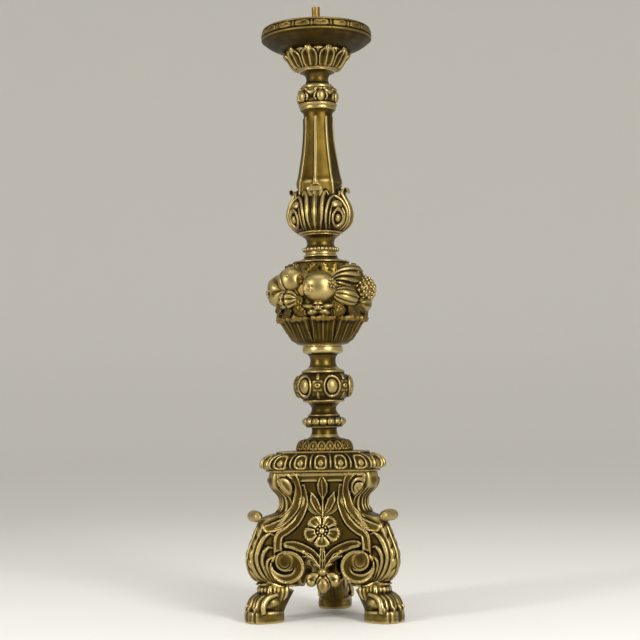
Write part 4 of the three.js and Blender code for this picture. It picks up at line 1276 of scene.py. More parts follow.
@dataclass
class SidePanel:
    """A carved panel: two scrolled bands, a tulip bud and leaves round a flower."""

    pitch: float = 0.9
    thickness: float = 12.0

    def shell(self) -> Shell:
        """Builds the front panel.

        Returns:
            The closed board.
        """
        carving = face_grid(88.0, 56.0, 236.6, self.pitch)
        self._ground(carving)
        for side in (-1.0, 1.0):
            self._scrolls(carving, side)
            self._leaves(carving, side)
        self._bud(carving)
        self._frieze(carving)
        self._trim(carving)
        return relief_plate(carving, self.pitch, self.thickness)

    def _ground(self, carving: Carving) -> None:
        """Lays the board between the bands, above the acanthus leaves."""
        side, z = np.abs(carving.u), carving.v
        half = np.interp(z, (100, 133, 143, 160, 186, 205, 222, 237),
                         (66, 66, 55, 40, 29, 32, 40, 44))
        foot = np.interp(side, (0, 14, 29, 46, 62), (96, 106, 115, 121, 124))
        carving.cover = np.maximum(carving.cover, np.minimum(half - side, z - foot))

    def _scrolls(self, carving: Carving, side: float) -> None:
        """Carves the two bands on one side, and the volutes that they end in."""
        inner = mirrored([(30.5, 216), (29, 203), (29.5, 185), (41, 160.5), (56.5, 146),
                          (67.5, 139), (71.2, 128), (71.4, 106)], side)
        carving.stroke(inner, (3.0, 4.2, 6.0, 7.2, 7.4, 7.0, 7.0, 7.2),
                       (2.4, 3.4, 3.8, 4.0, 4.2, 4.4, 4.6, 5.0), Cut.HOLLOW)
        outer = mirrored([(53, 238), (44.5, 229), (40.5, 217), (39.5, 202), (44.5, 182),
                          (57.5, 165), (72, 155), (88, 150)], side)
        carving.stroke(outer, (6.0, 6.4, 6.8, 7.4, 7.6, 7.6, 7.8, 8.0),
                       (5.2, 5.2, 5.4, 6.0, 6.4, 6.4, 6.2, 6.0), Cut.HOLLOW)
        carving.groove(mirrored([(31, 214), (33.6, 199), (38, 178), (50, 160), (65, 148.4),
                                 (80, 144.6)], side), 1.5, (0.5, 1.8, 2.4, 2.6))
        carving.dome((side * 57.0, 87.5), (27.6, 26.2), 5.2, Cut.FLAT)
        carving.ring((side * 57.0, 87.5), (26.2, 24.8), 1.3, 0.9, base=5.2)
        crescent = mirrored([(64, 114), (74.5, 108.5), (79.0, 98), (75.5, 85.5), (64, 78.6),
                             (50.5, 80.2), (45.4, 88)], side)
        carving.groove(crescent, (1.4, 3.4, 4.2, 4.0, 3.6, 3.0, 1.4),
                       (1.5, 6.0, 7.5, 7.0, 6.0, 4.5, 1.0))
        carving.dome((side * 59.0, 96.4), (13.2, 13.8), 3.0, Cut.ROUND, base=4.6)
        hook = spiral((side * 59.0, 96.4), 90 - side * 100, -side * 200, (12.4, 11.0, 8.0, 5.0))
        carving.groove(hook, (1.4, 1.5, 1.0), (0.4, 1.5, 0.5))
        carving.dome((side * 64.0, 214.5), (19.0, 21.0), 3.4, Cut.FLAT)
        carving.dome((side * 63.0, 213.5), (15.4, 16.4), 3.6, Cut.ROUND, base=5.0)
        edge = mirrored([(72, 195.4), (59, 194.4), (48.6, 202), (45.4, 214), (48, 225),
                         (54, 231)], side)
        carving.groove(edge, (1.2, 2.6, 3.0, 2.8, 1.8, 1.0), (1.0, 4.6, 5.4, 4.6, 2.6, 1.0))
        if side > 0:
            curl = spiral((62.5, 214.0), 222, -420, (10.6, 9.6, 7.0, 3.0))
            carving.groove(curl, (1.4, 1.8, 1.7, 1.2), (2.4, 3.8, 3.6, 1.6))

    def _leaves(self, carving: Carving, side: float) -> None:
        """Carves the acanthus leaves of one side, and the leaves over the flower."""
        leaf = mirrored([(2, 88), (8, 99), (18, 109.5), (32, 117.5), (46, 122.4), (57, 123.6)],
                        side)
        carving.stroke(leaf, (4.5, 6.5, 7.4, 7.4, 7.2, 5.4), (5.0, 6.4, 6.8, 6.8, 7.0, 6.4),
                       Cut.HOLLOW)
        carving.groove(leaf, 1.2, (0.3, 1.0, 1.2, 1.2, 0.4))
        for path, wide, rise in (
                ([(5, 88), (12, 97), (22, 103.5), (31, 104.5)], (3.0, 4.4, 4.4, 2.4), 6.4),
                ([(12, 98), (20, 108), (30, 110.5)], (2.0, 3.4, 1.6), 6.8),
                ([(30, 113), (39, 113.6), (46, 116.5)], (2.2, 3.2, 1.4), 5.6),
                ([(3, 84), (9, 89.5), (15, 91.5)], (2.4, 3.0, 1.4), 5.4)):
            carving.stroke(mirrored(path, side), wide, rise, Cut.SOFT)
        blade = mirrored([(1.5, 168), (8, 178), (14, 191), (18.5, 205)], side)
        carving.stroke(blade, (1.2, 6.0, 7.0, 0.8), (2.6, 3.8, 4.0, 2.4), Cut.HOLLOW)
        carving.stroke(blade, 0.7, (2.0, 3.2, 3.2, 1.6))
        outer = mirrored([(4, 168), (16, 174), (23, 184), (26.5, 197)], side)
        carving.stroke(outer, (1.0, 3.2, 4.0, 0.6), (2.0, 2.8, 3.0, 1.6), Cut.LEAF)

    def _bud(self, carving: Carving) -> None:
        """Carves the tall leaf over the flower with its stem, and the stem below."""
        carving.stroke(curve([(0, 158), (0, 178), (0, 198)]), (1.6, 1.8, 2.0), (3.4, 4.4, 4.6))
        carving.stroke(curve([(0, 195), (0.5, 205), (1.0, 217), (0.0, 232)]),
                       (2.0, 8.8, 9.6, 0.8), (4.6, 5.4, 5.4, 4.0), Cut.HOLLOW)
        carving.stroke(curve([(0, 197), (0.5, 207), (0.5, 219), (0, 228)]), 0.8, (5, 5, 5, 3))
        carving.stroke(curve([(0, 82), (0, 96), (0, 122)]), (4.5, 5.5, 3.0), (6, 7.6, 6), Cut.LEAF)
        carving.dome((0.0, 81.0), (7.5, 6.0), 8.5)

    def _frieze(self, carving: Carving) -> None:
        """Raises the plain band under the plate, with a dark line below it."""
        side = np.abs(carving.u)
        band = ramp(222.0, 223.4, carving.v) * 2.6
        line = 2.4 * np.exp(-(((carving.v - 221.2) / 1.3) ** 2)) * (side < 34)
        carving.height = np.maximum(carving.height - line * (carving.height < 2.0), band)
        edge = np.minimum(carving.v - 220.4, FACE.half(carving.v) - side)
        carving.cover = np.maximum(carving.cover, edge)

    def _trim(self, carving: Carving) -> None:
        """Cuts the board between the posts and under the plate."""
        carving.cover = np.minimum(carving.cover, FACE.half(carving.v) - np.abs(carving.u) + 0.6)
        carving.cover = np.minimum(carving.cover, 236.7 - carving.v)


@dataclass
class Flower:
    """The five-petalled flower on a panel, with veined petals and a beaded eye."""

    radius: float = 26.5
    petals: int = 5
    height: float = 143.0
    pitch: float = 0.8
    beads: int = 9

    def shell(self) -> Shell:
        """Builds the flower in front of the front panel.

        Returns:
            The closed flower.
        """
        carving = face_grid(30.0, self.height - 27.0, self.height + 27.0, self.pitch)
        x, z = carving.u * 0.86, (carving.v - self.height) * 1.03
        angle, span = np.arctan2(x, z), np.hypot(x, z)
        share = np.abs(((angle * self.petals / (2 * math.pi)) % 1.0) - 0.5) * 2
        edge = self.radius * (0.80 + 0.20 * (1 - share**2.2) + 0.025 * np.cos(angle * 35))
        carving.cover = edge - span
        reach = span / edge
        cup = 4.2 + 3.4 * np.sin(np.clip(reach, 0, 1) * math.pi * 0.62)
        gap = -3.6 * np.exp(-(((share - 1.0) / 0.10) ** 2)) * ramp(0.25, 0.5, reach)
        veins = 0.55 * np.cos(share * 9.5) * ramp(0.3, 0.6, reach)
        dip = -1.6 * np.exp(-((share / 0.25) ** 2)) * ramp(0.4, 0.9, reach)
        carving.height = (cup + gap + veins + dip) * ramp(1.02, 0.93, reach)
        carving.height = np.where(span < 9.5, 3.0, carving.height)
        carving.dome((0.0, self.height), (5.2, 5.2), 4.4, Cut.ROUND, base=3.4)
        for turn in np.linspace(0, 2 * math.pi, self.beads, endpoint=False):
            place = (7.3 * math.cos(turn), self.height + 7.3 * math.sin(turn))
            carving.dome(place, (2.1, 2.1), 2.4, Cut.ROUND, base=4.4)
        return relief_plate(carving, self.pitch, 1.5, lift=1.0)


@dataclass
class LeafDrop:
    """The three-lobed leaf that hangs under a panel."""

    pitch: float = 0.8
    thickness: float = 9.0

    def shell(self) -> Shell:
        """Builds the drop under the front panel.

        Returns:
            The closed drop.
        """
        carving = face_grid(30.0, 43.0, 88.0, self.pitch)
        for side in (-1.0, 1.0):
            carving.dome((side * 14.0, 69.0), (13.0, 9.6), 6.4)
            carving.dome((side * 18.6, 63.4), (8.4, 7.6), 7.2)
            carving.groove(mirrored([(6, 73), (10.8, 66), (12.4, 55)], side), 1.5, 3.6)
        carving.dome((0.0, 58.5), (10.2, 12.6), 8.4)
        carving.dome((0.0, 79.5), (8.5, 6.5), 9.0)
        return relief_plate(carving, self.pitch, self.thickness, lift=2.0)


@dataclass
class ScrollPost:
    """A corner post: a roll under the plate, a hollow throat, an ear and a leafed knee."""

    cols: int = 150
    pitch: float = 1.25
    profile: Sequence[Sequence[float]] = (
        (54, 106), (56.5, 110), (58.5, 122), (61, 124), (63, 120.5), (67, 126), (76, 133.5),
        (86, 137.8), (98, 139.4), (111, 137.6), (121, 133.8), (130, 129.5), (140, 125), (150, 121),
        (156, 118), (161, 115), (165, 110.5), (168, 103), (170, 94.5), (172.5, 87), (177, 81.6),
        (184, 78.8), (192, 78.4), (198, 80), (203, 84.5), (208, 90), (213.5, 95), (220, 97),
        (229, 97), (237, 95))

    def shell(self) -> Shell:
        """Builds the post that faces front.

        Returns:
            The closed shell.
        """
        line = even(curve([(reach, z) for z, reach in self.profile]), self.pitch)
        reach, z = line[:, 0], line[:, 1]
        back = 50.0 + 8.0 * ramp(190.0, 106.0, z) * ramp(54.0, 90.0, z)
        half = spread((13.0, 14.6, 15.0, 15.0, 14.2, 14.2, 15.0), (z - 54.0) / 183.0)
        square = 5.0 - 1.6 * ramp(170.0, 110.0, z)
        angle = np.linspace(-math.pi, math.pi, 1200)
        grid = np.zeros((len(line), self.cols, 3))
        for row, (low, high, wide, n) in enumerate(zip(back, reach, half, square)):
            cos, sin = np.cos(angle), np.sin(angle)
            ring = np.stack([wide * np.sign(sin) * np.abs(sin) ** (2 / n),
                             -(low + high) / 2 - (high - low) / 2 * np.sign(cos)
                             * np.abs(cos) ** (2 / n)], axis=1)
            grid[row, :, :2] = even(ring, np.linalg.norm(np.diff(ring, axis=0), axis=1).sum()
                                    / (self.cols + 0.5))[:self.cols]
            grid[row, :, 2] = z[row]
        outward = grid_normals(grid, True)
        lift = self._channel(grid, outward) + self._sides(grid, outward)
        return joined([sleeve(grid + outward * lift[..., None]), self._ear()])

    def _channel(self, grid: Array, outward: Array) -> Array:
        """Gives the height of the outer face's carving."""
        x, z = grid[..., 0], grid[..., 2]
        facing = ramp(0.35, 0.8, -outward[..., 1])
        fillets = 1.5 * np.cos(x * 2 * math.pi / 7.6) * ramp(166.0, 174.0, z) * ramp(214, 202, z)
        side = np.abs(x)
        lobes = np.abs(np.sin(math.pi * (z - 58.0 + 0.9 * side) / 17.0)) ** 0.6
        rib = 2.2 * np.exp(-((x / 1.8) ** 2)) + 2.0 * (lobes - 0.6) * ramp(1.6, 4.0, side)
        rib -= 1.0 * np.exp(-(((side - 3.0) / 1.1) ** 2))
        return facing * (fillets + rib * ramp(158.0, 148.0, z) * ramp(62.0, 70.0, z))

    def _sides(self, grid: Array, outward: Array) -> Array:
        """Gives the height of the leaf that wraps the knee on both sides."""
        carving = Carving(-grid[..., 1], grid[..., 2])
        for path, wide, rise in (
                ([(107, 63), (126, 76), (135.5, 98), (131.5, 122), (121, 144), (115, 155)],
                 (1.6, 3.6, 4.2, 4.2, 3.8, 1.4), (1.2, 1.8, 2.0, 2.2, 2.4, 1.2)),
                ([(105, 63), (120, 78), (128, 99), (124, 119), (116, 134), (106, 141),
                  (98, 138)],
                 (1.6, 4.0, 4.8, 5.2, 5.8, 5.4, 1.6), (1.2, 2.4, 2.8, 3.2, 4.0, 4.6, 2.4)),
                ([(103, 64), (113, 79), (119.5, 96), (117, 110), (109, 119), (100, 118)],
                 (1.6, 3.8, 4.8, 5.2, 5.4, 1.8), (1.2, 2.6, 3.2, 3.8, 5.0, 2.6)),
                ([(100, 65), (106.5, 77), (111.5, 89), (109, 99), (101, 103)],
                 (1.6, 3.4, 4.4, 4.4, 1.6), (1.2, 2.6, 3.4, 4.0, 2.2)),
                ([(97, 66), (101, 76), (103, 85)], (1.6, 3.0, 1.4), (1.4, 2.8, 1.8))):
            line = curve(path)
            carving.stroke(line, wide, rise, Cut.SOFT)
            carving.groove(line, 0.9, (0.4, 1.0, 1.2, 0.8))
            carving.groove(line + np.array([-2.4, 0.6]), 0.7, (0.2, 0.8, 0.8, 0.2))
        carving.stroke(curve([(82, 158), (92, 153.5), (104, 150), (110, 149)]), (8, 8.4, 8, 6.6),
                       (5.2, 5.2, 4.4, 2.6), Cut.HOLLOW)
        throat = curve([(93, 214), (87, 206), (79, 199), (75, 190), (75, 180), (79, 171),
                        (88, 165.5)])
        carving.stroke(throat, 1.8, (1.0, 1.8, 2.0, 1.6, 1.0))
        carving.stroke(throat - np.array([8.0, 1.5]), 1.6, (0.8, 1.6, 1.6, 0.8))
        facing = ramp(0.4, 0.8, np.abs(outward[..., 0]))
        return carving.height * facing

    def _ear(self) -> Shell:
        """Builds the rolled tip of the leaf at the ear."""
        path = curve([(-21.5, -123.0, 167.0), (-12.0, -124.5, 168.5), (0.0, -125.0, 169.0),
                      (12.0, -124.5, 168.5), (21.5, -123.0, 167.0)])
        radii = (2.4, 7.6, 9.2, 9.6, 9.2, 7.6, 2.4)
        return loft(path, radii, radii, (0, 0, 1), cols=40)


def ellipsoid(centre: Sequence[float], halves: Sequence[float], pitch: float = 1.6,
              tip: float = 0.0) -> Shell:
    """Makes an oval ball.

    Args:
        centre: Its middle.
        halves: Half its width, depth and height.
        pitch: The distance between points.
        tip: How far its front is tipped down, in degrees.

    Returns:
        The closed shell.
    """
    cols = max(14, int(2 * math.pi * max(halves[0], halves[1]) / pitch))
    rise = np.linspace(-math.pi / 2, math.pi / 2, max(8, cols // 2))[1:-1]
    around = np.linspace(0, 2 * math.pi, cols, endpoint=False)
    ball = np.stack([np.cos(rise)[:, None] * np.cos(around) * halves[0],
                     np.cos(rise)[:, None] * np.sin(around) * halves[1],
                     np.repeat(np.sin(rise)[:, None] * halves[2], cols, 1)], axis=-1)
    shell = sleeve(ball)
    cos, sin = math.cos(math.radians(tip)), math.sin(math.radians(tip))
    shell.points = shell.points @ np.array([[1, 0, 0], [0, cos, sin], [0, -sin, cos]])
    return shell.shifted(*centre)


def fused(shells: Sequence[Shell], voxel: float, rounds: int) -> Shell:
    """Melts crossing shells into one skin.

    Args:
        shells: The shells, which cross.
        voxel: The size of the skin's faces.
        rounds: How often the skin is smoothed.

    Returns:
        The one closed shell.
    """
    lump = joined(shells)
    mesh = bpy.data.meshes.new("clay")
    mesh.from_pydata(lump.points.tolist(), [], lump.quads.tolist() + lump.tris.tolist())
    clay = bpy.data.objects.new("clay", mesh)
    bpy.context.scene.collection.objects.link(clay)
    remesh = clay.modifiers.new("skin", "REMESH")
    remesh.mode = "VOXEL"
    remesh.voxel_size = voxel
    skin = clay.evaluated_get(bpy.context.evaluated_depsgraph_get()).to_mesh()
    points = np.zeros(len(skin.vertices) * 3)
    skin.vertices.foreach_get("co", points)
    quads = np.array([tuple(face.vertices) for face in skin.polygons])
    bpy.data.objects.remove(clay)
    bpy.data.meshes.remove(mesh)
    points = points.reshape(-1, 3)
    ends = np.concatenate([quads[:, [0, 1, 2, 3]].ravel(), quads[:, [1, 2, 3, 0]].ravel()])
    others = np.concatenate([quads[:, [1, 2, 3, 0]].ravel(), quads[:, [0, 1, 2, 3]].ravel()])
    weight = np.maximum(np.bincount(ends, minlength=len(points)), 1)[:, None]
    for _ in range(rounds):
        mean = np.stack([np.bincount(ends, points[others, k], len(points)) for k in range(3)], 1)
        points = 0.5 * points + 0.5 * mean / weight
    return Shell(points, quads)


@dataclass
class LionPaw:
    """A lion's paw on a low plinth, with four toes, claws and tufts of hair."""

    reach: float = 142.0
    voxel: float = 1.15

    def shell(self) -> Shell:
        """Builds the paw that faces front.

        Returns:
            The closed shell.
        """
        lumps = [self._plinth()]
        lumps.append(ellipsoid((0, -104, 31), (25, 26, 19), tip=12))
        lumps.append(loft(curve([(0, -101, 14), (0, -97, 34), (0, -88, 58)]),
                          (24, 22, 21), (20, 25.5, 30), (1, 0, 0)))
        for k in range(8):
            x = 6.7 * (k - 3.5)
            lumps += self._ridge(x, 134.0 - 0.0145 * abs(x) ** 2.05 - 1.2 * (k % 2), k % 2 == 0)
        for k, x in enumerate((-19, -13, -7.5, -2.5, 3, 8, 13.5, 19)):
            low, out = 41 - 7 * (k % 2), 5 - 0.03 * x * x
            lock = curve([(x * 0.85, -104, 58), (x, -114 - out, 53), (x * 1.06, -113 - out, 46),
                          (x * 1.12 + 2 * (-1) ** k, -117 - out, low)])
            lumps.append(loft(lock, (3.4, 3.7, 3.2, 0.8), (3.0, 3.2, 2.6, 0.7), (1, 0, 0), 14))
        for side in (-1, 1):
            for k, reach in enumerate((78, 85, 92, 99, 107)):
                lock = curve([(side * 17, -reach, 58), (side * 19.6, -reach - 2, 50),
                              (side * 20.4, -reach - 4, 42),
                              (side * 21.6, -reach - 8, 35 - 5 * (k % 2))])
                lumps.append(loft(lock, (3.3, 4.0, 3.6, 0.8), (2.8, 3.0, 2.6, 0.8), (0, 1, 0), 14))
        return fused(lumps, self.voxel, 2)

    def _ridge(self, x: float, tip: float, claw: bool) -> list[Shell]:
        """Builds one tendon of the paw down to the plinth, with a claw if it ends in one."""
        out = 0.16 * x
        line = curve([(x * 0.92, -tip + 27, 45), (x, -tip + 13, 41.5),
                      (x + out * 0.5, -tip + 4, 35),
                      (x + out, -tip, 26), (x + out, -tip + 1, 16)])
        lumps = [loft(line, (3.4, 4.0, 4.3, 4.3, 3.8), (3.2, 4.2, 5.0, 4.8, 4.0), (1, 0, 0), 20)]
        if claw:
            nail = curve([(x + out, -tip - 3.2, 25), (x + out, -tip - 6.2, 22.5),
                          (x + out, -tip - 5.8, 18)])
            lumps.append(loft(nail, (2.6, 2.3, 0.7), (2.4, 2.0, 0.7), (1, 0, 0), 12))
        return lumps

    def _plinth(self) -> Shell:
        """Builds the low plinth with its wavy front."""
        angle = np.linspace(0, 2 * math.pi, 240, endpoint=False)
        sin, cos = np.sin(angle), np.cos(angle)
        notch = np.exp(-((angle - math.pi) / 0.09) ** 2)
        for way in (-1, 1):
            notch = notch + 0.7 * np.exp(-((angle - math.pi - way * 0.72) / 0.09) ** 2)
        rows = []
        for z, ease in ((0, 0.8), (1.2, 0), (9.0, -0.4), (16.5, 0.2), (18.6, 1.2), (19.6, 3.4)):
            rows.append(np.stack(
                [-(28.0 - ease - 2.2 * notch) * np.sign(sin) * np.abs(sin) ** 0.72,
                 -111.5 + (30.2 - ease - 2.2 * notch) * np.sign(cos) * np.abs(cos) ** 0.72,
                 z + 0 * angle], axis=-1))
        return sleeve(np.stack(rows))


@dataclass
class TopPlate:
    """The three-sided plate with cut corners and a row of gadroons."""

    cut: float = 0.18
    sag: float = 0.06
    per_side: int = 5
    pitch: float = 1.1
    profile: Sequence[Sequence[Sequence[float]]] = (
        ((94.0, 0.0), (97.0, 0.6)), ((97.0, 0.6), (98.2, 2.2), (97.0, 4.0)),
        ((97.0, 4.0), (94.0, 5.4)),
        ((94.0, 5.4), (100.5, 5.4), (104.4, 8.0), (105.6, 12.4), (104.0, 17.4), (99.8, 22.0),
         (92.4, 25.8), (83.0, 28.4)),
        ((83.0, 28.4), (80.6, 29.0), (80.0, 31.6), (78.0, 33.0)), ((78.0, 33.0), (11.5, 33.0)))

    def _plan(self, steps: int) -> tuple[Array, Array]:
        """Draws the plan for a corner at distance 1.

        Args:
            steps: Points on each side.

        Returns:
            The plan's points, and the place of each within its own gadroon from -1 to 1.
        """
        points, places = [], []
        for i in range(SIDES):
            turn = math.radians(-60 + 120 * i)
            corners = []
            for side, at in ((-1, turn), (1, turn), (-1, turn + 2 * math.pi / SIDES)):
                out = np.array([math.sin(at), -math.cos(at)])
                along = np.array([math.cos(at), math.sin(at)])
                corners.append(out + side * self.cut * along)
            start, end, after = corners
            t = np.linspace(0, 1, max(8, steps // 4), endpoint=False)[:, None]
            points.append(start + (end - start) * t)
            places.append(2 * t[:, 0] - 1)
            middle = (end + after) / 2
            middle *= 1 - 2 * self.sag / np.linalg.norm(middle)
            t = np.linspace(0, 1, steps, endpoint=False)[:, None]
            points.append((1 - t) ** 2 * end + 2 * t * (1 - t) * middle + t**2 * after)
            places.append((self.per_side * t[:, 0]) % 1.0 * 2 - 1)
        return np.vstack(points), np.concatenate(places)

    def shell(self, foot: float) -> Shell:
        """Builds the plate.

        Args:
            foot: The height of its foot over the floor.

        Returns:
            The closed shell.
        """
        line = outline(self.profile, self.pitch)
        plan, place = self._plan(int(165 / self.pitch))
        grid = np.concatenate([line[:, None, :1] * plan[None],
                               np.repeat(line[:, None, 1:], len(plan), 1) + foot], axis=-1)
        up = np.repeat(line[:, 1:], len(plan), 1)
        zone = (up > 5.6) & (up < 28.2) & (np.repeat(line[:, :1], len(plan), 1) > 82.0)
        rise = (up - 5.6) / 22.6
        side = np.abs(place)[None]
        loop = ((side / 0.62) ** 4 + np.abs((rise - 0.46) / 0.47) ** 4) ** 0.25
        lobe = 1.5 * np.clip(1 - (side / 0.30) ** 2 - ((rise - 0.36) / 0.30) ** 2, 0, 1) ** 0.6
        border = 2.9 * np.exp(-(((loop - 0.86) / 0.13) ** 2))
        border = border + 2.2 * np.exp(-(((side - 1.0) / 0.08) ** 2)) * ramp(0.02, 0.15, rise)
        gap = -1.5 * np.exp(-(((side - 0.80) / 0.07) ** 2))
        lift = np.where(zone, lobe + border + gap, 0.0)
        return sleeve(grid + grid_normals(grid, True) * lift[..., None])


class Base:
    """The three-sided base with its panels, posts, paws and plate."""

    FACINGS = {"front": 0.0, "right": 120.0, "left": -120.0}
    CORNERS = {"front_right": 60.0, "rear": 180.0, "front_left": -60.0}

    def build(self, shop: Workshop, finishes: dict[str, Finish]) -> None:
        """Makes every piece of the base.

        Args:
            shop: The workshop.
            finishes: The finishes by record slot.
        """
        gilt, bright = finishes["gilt_wood"], finishes["bright_gilt_wood"]
        panel, flower, drop = SidePanel().shell(), Flower().shell(), LeafDrop().shell()
        for facing, turn in self.FACINGS.items():
            shop.place(f"carved_panel_{facing}", panel.turned(turn), gilt, f"panel_{facing}")
            shop.place(f"carved_rosette_{facing}", flower.turned(turn), bright,
                       f"rosette_{facing}")
            shop.place(f"carved_pendant_{facing}", drop.turned(turn), gilt, f"pendant_{facing}")
        post, paw = ScrollPost().shell(), LionPaw().shell()
        for corner, turn in self.CORNERS.items():
            shop.place(f"carved_post_{corner}", post.turned(turn), gilt, f"scroll_post_{corner}")
            shop.place(f"carved_paw_{corner}", paw.turned(turn), bright, f"paw_foot_{corner}")
        plate = TopPlate().shell(shop.level("top_plate"))
        shop.place("carved_top_plate", plate, gilt, "top_plate")


# ------------------------------------------------------------------ fruit


class Kind(Enum):
    """The kinds of fruit round the vase."""

    POMEGRANATE = "round, with a crown at each end"
    PEACH = "round, with a crease"
    QUINCE = "round, with a hollow eye"
    HUSK = "long, with slanting ribs"
    GRAPES = "a bunch of berries"
    MELON = "oval, with ribs"
    NUTS = "a ribbed pair"
    FIG = "smooth, drawn to a neck"
    BLOSSOM = "a low flower"


@dataclass(frozen=True)
class Fruit:
    """One fruit on the vase.

    Attributes:
        node: The CAD node that it stands for.
        kind: What it is.
        bearing: Where it sits, from the front towards the right, in degrees.
        up: How high, as a share of the vase's height.
        out: How far out, as a share of the vase's belly.
        size: Half its width, height and depth, as shares of FRUIT_MM.
        tilt: How far it is turned about the outward line, in degrees.
    """

    node: str
    kind: Kind
    bearing: float
    up: float
    out: float
    size: Sequence[float]
    tilt: float = 0.0


FRUIT_MM = 30.0
VASE_BELLY = 66.0
VASE_HEIGHT = 91.0

FRUITS = (
    Fruit("pomegranate_front", Kind.POMEGRANATE, 4, 0.51, 0.97, (0.97, 0.90, 0.87)),
    Fruit("peach_left", Kind.PEACH, -44, 0.66, 0.91, (0.80, 0.77, 0.83)),
    Fruit("quince_left", Kind.QUINCE, -76, 0.5, 1.03, (0.90, 0.90, 0.83)),
    Fruit("husk_right", Kind.HUSK, 52, 0.72, 0.86, (1.13, 0.60, 0.70), 16),
    Fruit("grapes_right", Kind.GRAPES, 84, 0.5, 1.06, (0.77, 0.80, 0.73)),
    Fruit("melon_right", Kind.MELON, 39, 0.35, 1.02, (0.80, 0.53, 0.67), -12),
    Fruit("nuts_left", Kind.NUTS, -42, 0.32, 1.02, (0.70, 0.60, 0.67)),
    Fruit("fig_right", Kind.FIG, 82, 0.24, 1.02, (0.67, 0.50, 0.57)),
    Fruit("blossom_front", Kind.BLOSSOM, 2, 0.15, 1.0, (0.70, 0.37, 0.47)),
    Fruit("apple_rear_right", Kind.PEACH, 132, 0.54, 1.0, (0.97, 0.90, 0.87)),
    Fruit("pomegranate_rear", Kind.POMEGRANATE, 184, 0.54, 1.0, (0.97, 0.90, 0.87)),
    Fruit("husk_rear", Kind.HUSK, -128, 0.72, 0.88, (1.10, 0.60, 0.70), -14),
    Fruit("grapes_rear_left", Kind.GRAPES, -126, 0.43, 1.05, (0.83, 0.73, 0.73)),
    Fruit("melon_rear", Kind.MELON, 160, 0.26, 1.0, (0.80, 0.50, 0.63), 10),
    Fruit("fig_rear_left", Kind.FIG, -164, 0.24, 1.0, (0.63, 0.47, 0.57)),
)


